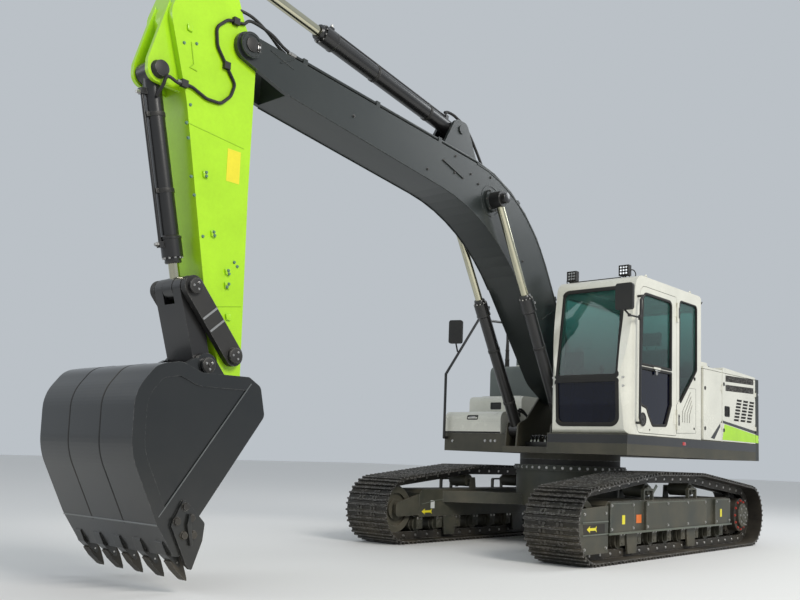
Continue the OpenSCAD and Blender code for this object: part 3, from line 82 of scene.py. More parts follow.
SIDE = 1366             # outer faces of the body and the cab
ROOF = 2979             # top of the cab
TRACK = 1195            # middle of each track
CAB_RIGHT = 400         # the cab's right wall
SEAT = (CAB_RIGHT + SIDE) / 2
BOOM_HALF, ARM_HALF, BUCKET_HALF = 212, 168, 600
TIP = (5287, 4189)
BOOM_EYE, BOOM_RAM, RAM_Y = (2021, 3698), (680, 1330), 310
ARM_EYE, ARM_RAM = (5640, 4950), (2438, 4374)
BUCKET_RAM, LINK_TOP, LINK_LOW = (6025, 3758), (5680, 2178), (5520, 1602)
ROCKER, HINGE = (5282, 1699), (5275, 1270)
SPROCKET, IDLER = (-1905, 375), (1925, 375)
BOTTOM_ROLLERS = [(1560 - 352 * i, 198) for i in range(9)]
TOP_ROLLERS = [(600, 700), (-480, 700)]
# Wheels that the track's lugs run round: x, z, radius
BELT = [(-1905, 375, 375), (1925, 375, 375), (600, 700, 195), (-480, 700, 195)]
SHOES, LUG, SHOE, CHAIN = 49, 26, 10, 84

# Outlines of the panes, as in the cab's walls: across or along, height, corner radius
FRONT_UPPER = [(480, 1880, 20), (1236, 1880, 20), (1236, 2850, 80), (480, 2850, 80)]
FRONT_LOWER = [(480, 1370, 90), (1236, 1370, 90), (1236, 1850, 20), (480, 1850, 20)]
CAB_SIDE = [(-723, 1279, 20), (1084, 1279, 60), (1114, 1900, 900), (955, 2979, 150), (-723, 2979, 120)]
BACK_PANE = [(510, 2020, 60), (1256, 2020, 60), (1256, 2820, 60), (510, 2820, 60)]
RIGHT_PANE = [(-480, 1700, 60), (900, 1700, 60), (840, 2820, 80), (-480, 2820, 60)]
REAR_PANE = [(-90, 1640, 30), (-90, 2849, 50), (-560, 2849, 50), (-560, 2080, 50)]
DOOR_LOW = [(240, 1400, 50), (570, 1386, 50), (665, 1495, 60), (712, 1570, 60), (858, 1600, 50),
            (843, 1994, 10), (115, 1994, 10), (115, 1630, 40)]
DOOR_HIGH = [(115, 2026, 10), (841, 2026, 10), (800, 2799, 80), (115, 2799, 60)]
# Side of the bucket from its pin, and of the boom: x, z, corner radius
BUCKET_SIDE = [(520, -752, 30), (600, -860, 30), (660, -1012, 4), (705, -1008, 4), (850, -790, 400),
               (1073, -330, 500), (1073, 70, 300), (920, 262, 180), (730, 300, 130), (560, 236, 160)]
SEAM_LOW, SEAM_HIGH = (839, -746), (121, 205)
BOOM_SIDE = [(-53, 1665, 120), (257, 1650, 130), (640, 1860, 500), (1993, 3538, 2150), (4891, 3926, 600),
             (5419, 4094, 110), (5402, 4307, 110), (1388, 3963, 1700), (500, 2420, 900)]


# Sizes and colours


class ExcavatorColours(bpy.types.PropertyGroup):
    """Paint colours of the machine, linear RGB."""

    def colour(name, text, value):
        return FloatVectorProperty(
            name=name, description=text, default=value, size=3, min=0, max=1, subtype="COLOR")

    body: colour("Body", "Off-white paint of the cab and the panels", (0.72, 0.71, 0.62))
    arm: colour("Arm", "Lime green paint of the arm and the stripe", (0.41, 0.74, 0.008))
    boom: colour("Boom", "Slate paint of the boom", (0.016, 0.021, 0.020))
    bucket: colour("Bucket", "Blue-grey paint of the bucket", (0.007, 0.009, 0.010))
    frame: colour("Frame", "Olive grey paint of the undercarriage", (0.028, 0.034, 0.026))
    skirt: colour("Skirt", "Grey paint of the upper frame and the tank", (0.042, 0.041, 0.027))
    glass: colour("Glass", "Tint of the windows", (0.22, 0.50, 0.45))
    low_glass: colour("Low glass", "Tint of the front and the door's lower panes", (0.010, 0.016, 0.085))


class ExcavatorSizes(bpy.types.PropertyGroup):
    """Sizes of the fittings, in millimetres."""

    seal: FloatProperty(name="Window seal", description="Width of the rubber round a pane",
                        default=26, min=8, max=60)


# Shader groups and materials


def new_group(name, inputs, outputs):
    tree = bpy.data.node_groups.new(name, "ShaderNodeTree")
    for label, kind, value in inputs:
        s = tree.interface.new_socket(name=label, in_out="INPUT", socket_type=kind)
        s.default_value = value
    for label, kind in outputs:
        tree.interface.new_socket(name=label, in_out="OUTPUT", socket_type=kind)
    return tree, tree.nodes.new("NodeGroupInput"), tree.nodes.new("NodeGroupOutput")


def add(tree, kind, values=(), **settings):
    """A new node: its settings, and its inputs by name or number as values or sockets."""
    n = tree.nodes.new(kind)
    for k, v in settings.items():
        setattr(n, k, v)
    for key, v in dict(values).items():
        if isinstance(v, bpy.types.NodeSocket):
            tree.links.new(v, n.inputs[key])
        else:
            n.inputs[key].default_value = v
    return n


def calc(tree, operation, *values, **settings):
    """The output of a Math node."""
    return add(tree, "ShaderNodeMath", enumerate(values), operation=operation, **settings).outputs[0]


def remap(tree, value, *limits):
    """The output of a Map Range node: from, to, new from, new to."""
    return add(tree, "ShaderNodeMapRange", {"Value": value, **dict(enumerate(limits, 1))}).outputs[0]


def mixed(tree, share, a, b, blend="MIX"):
    """The output of a colour Mix node; a colour of three values gets its alpha."""
    a, b = ((*c, 1.0) if isinstance(c, tuple) else c for c in (a, b))
    return add(tree, "ShaderNodeMix", {0: share, 6: a, 7: b}, data_type="RGBA", blend_type=blend).outputs[2]


def weathering_group():
    """Edge wear, dust and colour variation of a painted or cast surface."""
    t, gi, go = new_group(
        "Weathering",
        [("Edge", "NodeSocketFloat", 0.5), ("Dust", "NodeSocketFloat", 0.3),
         ("Radius", "NodeSocketFloat", 0.006), ("Low", "NodeSocketFloat", 1.2)],
        [("Edge", "NodeSocketFloat"), ("Dust", "NodeSocketFloat"), ("Tone", "NodeSocketFloat"),
         ("Grain", "NodeSocketFloat")])
    co = add(t, "ShaderNodeTexCoord").outputs["Object"]
    normal = add(t, "ShaderNodeNewGeometry").outputs["Normal"]
    broad, fine = (add(t, "ShaderNodeTexNoise", {
        "Vector": co, "Scale": scale, "Detail": detail, "Roughness": rough}).outputs["Fac"]
        for scale, detail, rough in ((2.2, 6.0, 0.6), (38.0, 5.0, 0.65)))
    grain = add(t, "ShaderNodeTexNoise", {"Vector": co, "Scale": 420.0, "Detail": 2.0}).outputs["Fac"]
    bevel = add(t, "ShaderNodeBevel", {"Radius": gi.outputs["Radius"]}, samples=3)
    turn = add(t, "ShaderNodeVectorMath", {0: bevel.outputs[0], 1: normal}, operation="DOT_PRODUCT")
    sharp = remap(t, turn.outputs["Value"], 0.995, 0.86, 0.0, 1.0)
    edge = calc(t, "MULTIPLY", sharp, remap(t, fine, 0.42, 0.62, 0.0, 1.0))
    edge = calc(t, "MULTIPLY", edge, gi.outputs["Edge"])
    # Dust settles on upward faces and thickens towards the ground
    lie = remap(t, add(t, "ShaderNodeSeparateXYZ", {0: normal}).outputs["Z"], 0.2, 1.0, 0.15, 0.85)
    low = remap(t, add(t, "ShaderNodeSeparateXYZ", {0: co}).outputs["Z"], gi.outputs["Low"], 0.0, 0.0, 0.8)
    dust = calc(t, "MULTIPLY", calc(t, "ADD", lie, low), remap(t, broad, 0.35, 0.7, 0.1, 1.0))
    dust = calc(t, "MULTIPLY", dust, gi.outputs["Dust"], use_clamp=True)
    tone = remap(t, calc(t, "MULTIPLY_ADD", fine, 0.3, broad), 0.4, 0.9, 0.88, 1.1)
    for label, s in (("Edge", edge), ("Dust", dust), ("Tone", tone), ("Grain", grain)):
        t.links.new(s, go.inputs[label])
    return t


def weave_group():
    """Over and under threads of a cloth, as a colour mask and a height."""
    t, gi, go = new_group("Weave", [("Scale", "NodeSocketFloat", 300.0)],
                          [("Thread", "NodeSocketFloat"), ("Height", "NodeSocketFloat")])
    co = add(t, "ShaderNodeTexCoord").outputs["Object"]
    big = add(t, "ShaderNodeVectorMath", {0: co, "Scale": gi.outputs["Scale"]}, operation="SCALE")
    xyz = add(t, "ShaderNodeSeparateXYZ", {0: big.outputs[0]})
    waves = [calc(t, "SINE", xyz.outputs[axis]) for axis in ("X", "Y", "Z")]
    both_ways = calc(t, "ADD", calc(t, "MULTIPLY", waves[0], waves[1]), waves[2])
    height = remap(t, both_ways, -2.0, 2.0, 0.0, 1.0)
    for label in ("Thread", "Height"):
        t.links.new(height, go.inputs[label])
    return t


groups, materials, trees = {}, {}, {}


def new_material(name, group, values):
    """A material with its tree, its Principled BSDF and a placed shader group."""
    m = materials[name] = bpy.data.materials.new(name)
    m.use_nodes = True
    t = m.node_tree
    g = add(t, "ShaderNodeGroup", node_tree=groups[group])
    for key, v in values.items():
        g.inputs[key].default_value = v
    return t, t.nodes["Principled BSDF"], g


def set_shader(tree, shader, colour, rough, **constants):
    """Feeds the colour and the roughness, as a value or a socket, and sets the shader's constants."""
    tree.links.new(colour, shader.inputs["Base Color"])
    if isinstance(rough, float):
        shader.inputs["Roughness"].default_value = rough
    else:
        tree.links.new(rough, shader.inputs["Roughness"])
    for key, v in constants.items():
        shader.inputs[key.replace("_", " ")].default_value = v


def painted(name, colour, rough=0.35, metal=0.0, coat=0.0, edge=0.5, dust=0.3, worn=(0.35, 0.34, 0.32),
            radius=0.006, low=1.2, bump=0.12):
    """A weathered surface: its base colour, worn edges and dust."""
    t, shader, w = new_material(name, "Weathering",
                                {"Edge": edge, "Dust": dust, "Radius": radius, "Low": low})
    tone = w.outputs["Tone"]
    grey = add(t, "ShaderNodeCombineColor", {0: tone, 1: tone, 2: tone}).outputs[0]
    rub = mixed(t, w.outputs["Edge"], mixed(t, 1.0, tuple(colour), grey, "MULTIPLY"), worn)
    soiled = mixed(t, w.outputs["Dust"], rub, (0.23, 0.19, 0.13))
    set_shader(t, shader, soiled, remap(t, w.outputs["Dust"], 0.0, 0.6, rough, 0.85),
               Metallic=metal, Coat_Weight=coat,
           Coat_Roughness=0.12, Specular_IOR_Level=0.5)
    b = add(t, "ShaderNodeBump", {"Height": w.outputs["Grain"], "Strength": bump, "Distance": 0.0006})
    t.links.new(b.outputs[0], shader.inputs["Normal"])


def glazed(name, tint, low_tint):
    """Tinted glass, darker below the bars of the front window and the door."""
    t, shader, w = new_material(name, "Weathering", {"Edge": 0.0, "Dust": 0.25})
    at = add(t, "ShaderNodeSeparateXYZ", {0: add(t, "ShaderNodeTexCoord").outputs["Object"]}).outputs
    # The lower panes: under the bar's height, and forward of the rear quarter's glass
    under = calc(t, "LESS_THAN", at["Z"], 2.01)
    front = calc(t, "GREATER_THAN", at["X"], SLEW_X + 1.0)
    upper = calc(t, "MULTIPLY", front, calc(t, "GREATER_THAN", at["Z"], 1.865))
    leaf = calc(t, "MULTIPLY", calc(t, "GREATER_THAN", at["Y"], 1.3),
                calc(t, "GREATER_THAN", at["X"], SLEW_X + 0.05))
    low = calc(t, "MULTIPLY", calc(t, "MAXIMUM", leaf, front), under)
    low = calc(t, "SUBTRACT", low, upper, use_clamp=True)
    # The glass is darker towards the sill
    deep = mixed(t, remap(t, at["Z"], 1.9, 2.75, 0.0, 1.0), tuple(v * 0.3 for v in tint), tuple(tint))
    film = mixed(t, w.outputs["Dust"], mixed(t, low, deep, tuple(low_tint)), (0.4, 0.42, 0.38))
    set_shader(t, shader, film, remap(t, w.outputs["Dust"], 0.0, 0.5, 0.02, 0.3),
               Transmission_Weight=0.92, IOR=1.45)


def woven(name, colour):
    """Woven cloth, its upper threads lighter."""
    t, shader, g = new_material(name, "Weave", {"Scale": 1400.0})
    light = tuple(min(1.0, c * 2.2) for c in colour)
    set_shader(t, shader, mixed(t, g.outputs["Thread"], colour, light), 0.9, Sheen_Weight=0.3)
    b = add(t, "ShaderNodeBump", {"Height": g.outputs["Height"], "Strength": 0.4, "Distance": 0.0008})
    t.links.new(b.outputs[0], shader.inputs["Normal"])


def make_materials(c):
    groups["Weathering"] = weathering_group()
    groups["Weave"] = weave_group()
    painted("frame_paint", c.frame, 0.42, edge=0.7, dust=0.5, radius=0.008)
    painted("track_steel", (0.012, 0.012, 0.012), 0.45, metal=0.4, edge=1.0, dust=0.3, radius=0.01,
            worn=(0.45, 0.44, 0.42))
    painted("cast_steel", (0.035, 0.035, 0.035), 0.5, metal=0.5, edge=0.8, dust=0.4)
    # The skirt's dust, thicker below 1.6 m, is partly real dust and partly a painted reflection of the floor
    # that pales its lower half
    painted("skirt_paint", c.skirt, 0.45, edge=0.5, dust=0.5, low=1.6)
    painted("counterweight_paint", c.boom, 0.42, edge=0.4, dust=0.3, low=1.6)
    painted("body_paint", c.body, 0.24, coat=0.5, edge=0.15, dust=0.18, low=1.8, bump=0.05)
    # Painted shade: the tank's white paint is given the dark grey it shows in shade
    painted("tank_paint", (0.11, 0.13, 0.12), 0.4, edge=0.4, dust=0.2)
    painted("boom_paint", c.boom, 0.34, coat=0.2, edge=0.3, dust=0.1)
    painted("arm_paint", c.arm, 0.3, coat=0.4, edge=0.15, dust=0.08, bump=0.05)
    painted("bucket_paint", c.bucket, 0.3, coat=0.35, edge=0.4, dust=0.12, low=1.0)
    painted("black_paint", (0.010, 0.010, 0.011), 0.3, coat=0.3, edge=0.3, dust=0.2)
    painted("black_plastic", (0.012, 0.012, 0.012), 0.55, edge=0.0, dust=0.25, bump=0.4)
    painted("rubber", (0.008, 0.008, 0.008), 0.7, edge=0.0, dust=0.3, bump=0.5)
    painted("rod_chrome", (0.58, 0.56, 0.42), 0.13, metal=1.0, edge=0.0, dust=0.08, bump=0.03)
    painted("steel_bright", (0.52, 0.51, 0.49), 0.28, metal=1.0, edge=0.4, dust=0.2)
    painted("lime_paint", c.arm, 0.3, coat=0.3, edge=0.1, dust=0.1)
    painted("label_yellow", (0.80, 0.70, 0.02), 0.4, edge=0.1, dust=0.2)
    painted("orange_paint", (0.75, 0.16, 0.01), 0.4, edge=0.2, dust=0.2)
    painted("lamp_red", (0.5, 0.01, 0.01), 0.2, coat=0.8, edge=0.0, dust=0.1)
    painted("lamp_glass", (0.75, 0.77, 0.78), 0.08, metal=0.6, coat=1.0, edge=0.0, dust=0.1)
    painted("boss_green", (0.10, 0.22, 0.14), 0.35, coat=0.2, edge=0.3, dust=0.2)
    painted("hose_rubber", (0.010, 0.010, 0.010), 0.5, edge=0.0, dust=0.2, bump=0.3)
    painted("mirror_glass", (0.80, 0.82, 0.84), 0.03, metal=1.0, edge=0.0, dust=0.05, bump=0.0)
    painted("weld_seam", (0.05, 0.06, 0.06), 0.45, metal=0.3, edge=0.0, dust=0.1, bump=0.6)
    painted("arm_seam", tuple(v * 0.75 for v in c.arm), 0.4, edge=0.0, dust=0.1, bump=0.5)
    painted("steel_dull", (0.20, 0.21, 0.21), 0.4, metal=0.8, edge=0.2, dust=0.2)
    painted("track_bolt", (0.06, 0.06, 0.058), 0.4, metal=0.7, edge=0.8, dust=0.4)
    # Painted highlight: a lighter copy of the frame paint for the track frames' rails, seams and strut
    # plates
    painted("frame_highlight_paint", tuple(v * 3.2 for v in c.frame), 0.4, coat=0.2, edge=0.5, dust=0.3)
    painted("white_plate", (0.7, 0.72, 0.7), 0.4, edge=0.1, dust=0.2)
    painted("red_mark", (0.45, 0.02, 0.01), 0.5, edge=0.1, dust=0.3)
    glazed("window_glass", c.glass, c.low_glass)
    woven("seat_cloth", (0.018, 0.018, 0.020))


# Shapes


class Shape:
    """Collects like forms in one mesh, in the machine's millimetres."""

    def __init__(self):
        self.points, self.faces = [], []

    def add(self, points, faces):
        n = len(self.points)
        self.points += [tuple(p) for p in points]
        self.faces += [tuple(i + n for i in f) for f in faces]
        return self

    def rings(self, rings, caps=True, closed=False):
        """A skin over rings of equal length, each a list of points."""
        k = len(rings[0])
        points = [p for ring in rings for p in ring]
        faces = []
        last = len(rings) if closed else len(rings) - 1
        for i in range(last):
            a, b = i * k, ((i + 1) % len(rings)) * k
            faces += [(a + j, a + (j + 1) % k, b + (j + 1) % k, b + j) for j in range(k)]
        if caps and not closed:
            faces += [tuple(reversed(range(k))), tuple(range((len(rings) - 1) * k, len(rings) * k))]
        return self.add(points, faces)

    def block(self, corner, opposite):
        """A block between two opposite corners, given in any order."""
        (x0, x1), (y0, y1), (z0, z1) = (sorted(pair) for pair in zip(corner, opposite))
        return self.rings([[(x0, y0, z0), (x0, y1, z0), (x1, y1, z0), (x1, y0, z0)],
                           [(x0, y0, z1), (x0, y1, z1), (x1, y1, z1), (x1, y0, z1)]])

    def prism(self, outline, y0, y1):
        """An outline of x and z, given y limits."""
        turn = sum(p[0] * q[1] - q[0] * p[1] for p, q in zip(outline, outline[1:] + outline[:1]))
        flat = outline if turn > 0 else outline[::-1]
        return self.rings([[(x, y1, z) for x, z in flat], [(x, y0, z) for x, z in flat]])

    def disc(self, centre, axis, radii, sides=24, closed=False):
        """A turned piece: radii is a list of (distance along the axis, radius), closed for a ring."""
        w = Vector(axis).normalized()
        u = w.orthogonal().normalized()
        v = w.cross(u)
        c = Vector(centre)
        ring = [(math.cos(2 * math.pi * i / sides), math.sin(2 * math.pi * i / sides)) for i in range(sides)]
        return self.rings([[c + w * d + (u * a + v * b) * r for a, b in ring] for d, r in radii],
                          closed=closed)

    def cap(self, spot, y, s, radii, sides=24, closed=False):
        """A turned piece on a side: its x and z, its y and the sign that it faces."""
        return self.disc((spot[0], y, spot[1]), (0, s, 0), radii, sides, closed)

    def rod(self, p, q, r, sides=16):
        p, q = Vector(p), Vector(q)
        return self.disc(p, q - p, [(0, r), ((q - p).length, r)], sides)

    def tube(self, path, r, sides=12, smooth=8):
        """A round tube along a smooth path through the points."""
        pts = curve(path, smooth)
        rings = []
        u = None
        for i, p in enumerate(pts):
            d = (pts[min(i + 1, len(pts) - 1)] - pts[max(i - 1, 0)]).normalized()
            u = (d.orthogonal() if u is None else u - d * u.dot(d)).normalized()
            v = d.cross(u)
            rings.append([p + (u * math.cos(a) + v * math.sin(a)) * r
                          for a in (2 * math.pi * k / sides for k in range(sides))])
        return self.rings(rings)

    def ring(self, outline, lift, inner, outer, low, high):
        """A closed strip along an outline: lift(a, b, h) gives the point at height h over the wall."""
        flat = [Vector(p) for p in outline]
        rings = []
        for i, p in enumerate(flat):
            d = (flat[(i + 1) % len(flat)] - flat[i - 1]).normalized()
            out = Vector((d.y, -d.x))
            rings.append([lift(p, p + out * e, h) for e, h in (
                (outer, low), (outer, high - 2), (outer - 3, high), (3 - inner, high), (-inner, high - 2),
                (-inner, low))])
        return self.rings(rings, closed=True)

    def strip(self, line, lift, half, low, high):
        """An open strip along a line of points on a wall."""
        flat = [Vector(p) for p in line]
        rings = []
        for i, p in enumerate(flat):
            d = (flat[min(i + 1, len(flat) - 1)] - flat[max(i - 1, 0)]).normalized()
            out = Vector((d.y, -d.x))
            rings.append([lift(p, p + out * e, h) for e, h in ((half, low), (half * 0.6, high),
                                                               (-half * 0.6, high), (-half, low))])
        return self.rings(rings)

    def block_at(self, centre, d, up, size):
        """A block along a cylinder's frame: its middle, two directions and its size."""
        side = d.cross(up)
        a, b, c = d * size[0] / 2, side * size[1] / 2, up * size[2] / 2
        return self.rings([[centre - a - b + c * k, centre - a + b + c * k, centre + a + b + c * k,
                            centre + a - b + c * k] for k in (-1, 1)])

    def mesh(self, name):
        me = bpy.data.meshes.new(name)
        me.from_pydata([place(p) for p in self.points], [], self.faces)
        bm = bmesh.new()
        bm.from_mesh(me)
        bmesh.ops.recalc_face_normals(bm, faces=bm.faces)
        bm.to_mesh(me)
        bm.free()
        return me

    def piece(self, name, body, material, bevel=0.0, smooth=True):
        """Makes the piece, which moves with the body, if one is given."""
        ob = bpy.data.objects.new(name, self.mesh(name))
        bpy.context.scene.collection.objects.link(ob)
        if bevel:
            b = ob.modifiers.new("Bevel", "BEVEL")
            b.width, b.segments, b.limit_method, b.angle_limit = bevel / 1000, 2, "ANGLE", 0.6
            apply_modifiers(ob)
        if smooth:
            shade(ob)
        ob.data.materials.append(materials[material])
        if body:
            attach(ob, body)
        return ob


def apply_modifiers(ob):
    bpy.context.view_layer.update()
    flat = bpy.data.meshes.new_from_object(ob.evaluated_get(bpy.context.evaluated_depsgraph_get()))
    ob.modifiers.clear()
    ob.data = flat


def shade(ob, angle=0.6):
    """Smooth faces that meet at a small angle, and sharp edges elsewhere."""
    bm = bmesh.new()
    bm.from_mesh(ob.data)
    for f in bm.faces:
        f.smooth = True
    for e in bm.edges:
        e.smooth = len(e.link_faces) == 2 and e.calc_face_angle(math.pi) < angle
    bm.to_mesh(ob.data)
    bm.free()


def curve(path, steps):
    """A smooth line through the points, by Catmull and Rom's rule."""
    p = [Vector(q) for q in path]
    if len(p) < 3 or steps < 2:
        return p
    p = [p[0] * 2 - p[1]] + p + [p[-1] * 2 - p[-2]]
    out = []
    for a, b, c, d in zip(p, p[1:], p[2:], p[3:]):
        for k in range(steps):
            t = k / steps
            out.append(0.5 * (2 * b + (c - a) * t + (2 * a - 5 * b + 4 * c - d) * t * t
                              + (3 * b - a - 3 * c + d) * t ** 3))
    return out + [p[-2]]


def both(y):
    return (-y, y)


def hand(s):
    """Name of the side at that sign of y."""
    return "left" if s > 0 else "right"


def rounded(table, steps=6):
    """An outline from rows of two coordinates and a corner's radius."""
    out = []
    for i, (x, z, r) in enumerate(table):
        p = Vector((x, z))
        u = (Vector(table[i - 1][:2]) - p).normalized()
        v = (Vector(table[(i + 1) % len(table)][:2]) - p).normalized()
        if r <= 0:
            out.append(p)
            continue
        half = u.angle(v) / 2
        centre = p + (u + v).normalized() * r / math.sin(half)
        start, end = p + u * r / math.tan(half) - centre, p + v * r / math.tan(half) - centre
        a = math.atan2(start.y, start.x)
        turn = (math.atan2(end.y, end.x) - a + math.pi) % (2 * math.pi) - math.pi
        out += [centre + Vector((math.cos(a + turn * k / steps), math.sin(a + turn * k / steps))) * r
                for k in range(steps + 1)]
    return out


def moved(table, pin):
    """Rows of an outline, from a pin's place."""
    return [(x + pin[0], z + pin[1], *rest) for x, z, *rest in table]


def clip(outline, x0, x1):
    """The part of a convex outline between two x places."""
    for limit, sign in ((x0, 1), (x1, -1)):
        out = []
        for i, p in enumerate(outline):
            q = outline[(i + 1) % len(outline)]
            inside, next_inside = sign * (p[0] - limit) >= 0, sign * (q[0] - limit) >= 0
            if inside:
                out.append(p)
            if inside != next_inside:
                t = (limit - p[0]) / (q[0] - p[0])
                out.append((limit, p[1] + t * (q[1] - p[1])))
        outline = out
    return outline


def below_middle(p):
    """True for the points of the boom's outline on its lower edge."""
    back = [(500, 2420), (1388, 3963), (5402, 4307)]
    front = [(640, 1860), (1993, 3538), (4891, 3926)]
    near = lambda line: min((Vector(a).lerp(Vector(b), k / 20) - p).length
                            for a, b in zip(line, line[1:]) for k in range(21))
    return near(front) < near(back)


def side_wall(value, sign=1):
    """For outlines of x and z on a wall at y = value: the point h outside it."""
    return lambda p, q, h: (q[0], value + sign * h, q[1])


def front_plane(x):
    """For outlines of y and z on a plane at x: the point h ahead of it."""
    return lambda p, q, h: (x + h, q[0], q[1])


def onto(node, p, d, reach=3000):
    """Where a ray from p along d meets a node, in millimetres; p may lie outside it."""
    d = Vector(d).normalized()
    found, spot, normal, face = nodes[node].ray_cast(place(p), d, distance=reach / 1000)
    if not found:
        raise RuntimeError(f"nothing of {node} lies ahead of {tuple(round(v) for v in p)}")
    return Vector(((spot.x - SLEW_X) * 1000, spot.y * 1000, spot.z * 1000)), normal


def front_wall(p, q, h):
    """The point h outside the cab's front, whose profile and plan have round corners."""
    line = sorted((v.y, v.x) for v in rounded(CAB_SIDE, 24) if v.x > 850)
    x = next(a[1] + (b[1] - a[1]) * (q[1] - a[0]) / max(b[0] - a[0], 1e-6)
             for a, b in zip(line, line[1:]) if a[0] <= q[1] <= b[0])
    for edge, radius, sign in ((SIDE, 150, 1), (CAB_RIGHT, 110, -1)):
        past = sign * (q[0] - (edge - sign * radius))
        if past > 0:
            x -= radius - math.sqrt(radius ** 2 - min(past, radius) ** 2)
    return (x + h, q[0], q[1])


def along(p, q, y=0):
    """Frame of a cylinder from pin p to pin q: at(s, up, side) gives a point."""
    d = Vector((q[0] - p[0], 0, q[1] - p[1])).normalized()
    n = Vector((-d.z, 0, d.x))
    o = Vector((p[0], y, p[1]))
    return (lambda s, up=0, side=0: o + d * s + n * up + Vector((0, side, 0))), d, n


def belt_places(share, h):
    """Points at that share of each shoe, h outside the lugs' tips, with the outward direction."""
    runs = []
    count = len(BELT)
    sides = []
    for i in range(count):
        a, b = BELT[i], BELT[(i + 1) % count]
        span = math.hypot(b[0] - a[0], b[1] - a[1])
        sides.append(math.atan2(b[1] - a[1], b[0] - a[0]) - math.acos((a[2] - b[2]) / span))
        runs.append(math.sqrt(span ** 2 - (a[2] - b[2]) ** 2))
    turns = [(sides[(i + 1) % count] - sides[i]) % (2 * math.pi) for i in range(count)]
    lengths = [v for i in range(count) for v in (runs[i], BELT[(i + 1) % count][2] * turns[i])]
    pitch = sum(lengths) / SHOES
    out = []
    for k in range(SHOES):
        s = (k + share) * pitch
        for i, length in enumerate(lengths):
            if s <= length:
                break
            s -= length
        x, z, r = BELT[(i // 2 + i % 2) % count]
        a = sides[i // 2] + (s / r if i % 2 else 0)
        step = 0 if i % 2 else s
        out.append((Vector((x + (r + h) * math.cos(a) - step * math.sin(a), 0,
                            z + (r + h) * math.sin(a) + step * math.cos(a))),
                    Vector((math.cos(a), 0, math.sin(a)))))
    return out


# Geometry Nodes trees for what repeats


def new_tree(name, **inputs):
    """A tree from a geometry and named values to a geometry."""
    t = bpy.data.node_groups.new(name, "GeometryNodeTree")
    t.interface.new_socket("Geometry", in_out="INPUT", socket_type="NodeSocketGeometry")
    for label, value in inputs.items():
        kind = {float: "Float", int: "Int", tuple: "Vector"}[type(value)]
        t.interface.new_socket(label, in_out="INPUT", socket_type=f"NodeSocket{kind}").default_value = value
    t.interface.new_socket("Material", in_out="INPUT", socket_type="NodeSocketMaterial")
    t.interface.new_socket("Geometry", in_out="OUTPUT", socket_type="NodeSocketGeometry")
    return t, t.nodes.new("NodeGroupInput"), t.nodes.new("NodeGroupOutput")


def finish_tree(t, gi, go, geometry):
    """Ends a tree in plain geometry with its material."""
    real = add(t, "GeometryNodeRealizeInstances", {0: geometry})
    done = add(t, "GeometryNodeSetMaterial",
               {"Geometry": real.outputs[0], "Material": gi.outputs["Material"]})
    t.links.new(done.outputs[0], go.inputs[0])
    return t


def aimed_instances(t, gi, instance, axis, pivot, spin):
    """The instance on each point, with its axis along the point's aim and a seeded spin about it."""
    aim = add(t, "GeometryNodeInputNamedAttribute", {"Name": "aim"}, data_type="FLOAT_VECTOR")
    turn = add(t, "FunctionNodeAlignRotationToVector", {"Vector": aim.outputs[0]},
               axis=axis, pivot_axis=pivot)
    rotation = turn.outputs[0]
    if spin:
        angle = add(t, "FunctionNodeRandomValue", {"Seed": gi.outputs["Seed"]}, data_type="FLOAT")
        value = next(s for s in angle.outputs if s.type == "VALUE" and s.enabled)
        local = add(t, "FunctionNodeAxisAngleToRotation", {
            "Axis": (0, 0, 1), "Angle": calc(t, "MULTIPLY", value, 6.283)})
        rotate = add(t, "FunctionNodeRotateRotation", {0: rotation, 1: local.outputs[0]},
                     rotation_space="LOCAL")
        rotation = rotate.outputs[0]
    return add(t, "GeometryNodeInstanceOnPoints", {
        "Points": gi.outputs["Geometry"], "Instance": instance, "Rotation": rotation}).outputs[0]


def lifted(t, mesh, height):
    """The mesh moved up its own axis."""
    up = add(t, "ShaderNodeCombineXYZ", {"Z": height})
    moved_mesh = {"Geometry": mesh.outputs[0], "Translation": up.outputs[0]}
    return add(t, "GeometryNodeTransform", moved_mesh).outputs[0]


def fastener_tree():
    """Hexagon heads on washers, one on each point, along its aim."""
    t, gi, go = new_tree("Fasteners", Width=0.022, Height=0.010, Seed=3)
    width, height = gi.outputs["Width"], gi.outputs["Height"]
    head = add(t, "GeometryNodeMeshCylinder", {
        "Vertices": 6, "Radius": calc(t, "MULTIPLY", width, 0.577), "Depth": height})
    rim = add(t, "GeometryNodeMeshCylinder", {
        "Vertices": 14, "Radius": calc(t, "MULTIPLY", width, 0.72), "Depth": 0.004})
    whole = add(t, "GeometryNodeJoinGeometry")
    for part in (lifted(t, head, calc(t, "MULTIPLY", height, 0.5)), rim.outputs[0]):
        t.links.new(part, whole.inputs[0])
    return finish_tree(t, gi, go, aimed_instances(t, gi, whole.outputs[0], "Z", "AUTO", True))


def button_tree():
    """Domed round heads, one on each point, along its aim."""
    t, gi, go = new_tree("Buttons", Width=0.022, Height=0.006, Seed=5)
    width, height = gi.outputs["Width"], gi.outputs["Height"]
    cone = add(t, "GeometryNodeMeshCone", {
        "Vertices": 16, "Radius Top": calc(t, "MULTIPLY", width, 0.36),
        "Radius Bottom": calc(t, "MULTIPLY", width, 0.5), "Depth": height})
    seated = lifted(t, cone, calc(t, "MULTIPLY", height, -0.3))
    return finish_tree(t, gi, go, aimed_instances(t, gi, seated, "Z", "AUTO", False))


def slat_tree():
    """Bars of one size, one on each point, turned about the Y axis to its aim."""
    t, gi, go = new_tree("Slats", Size=(0.1, 0.01, 0.02))
    bar = add(t, "GeometryNodeMeshCube", {"Size": gi.outputs["Size"]})
    return finish_tree(t, gi, go, aimed_instances(t, gi, bar.outputs[0], "X", "Y", False))


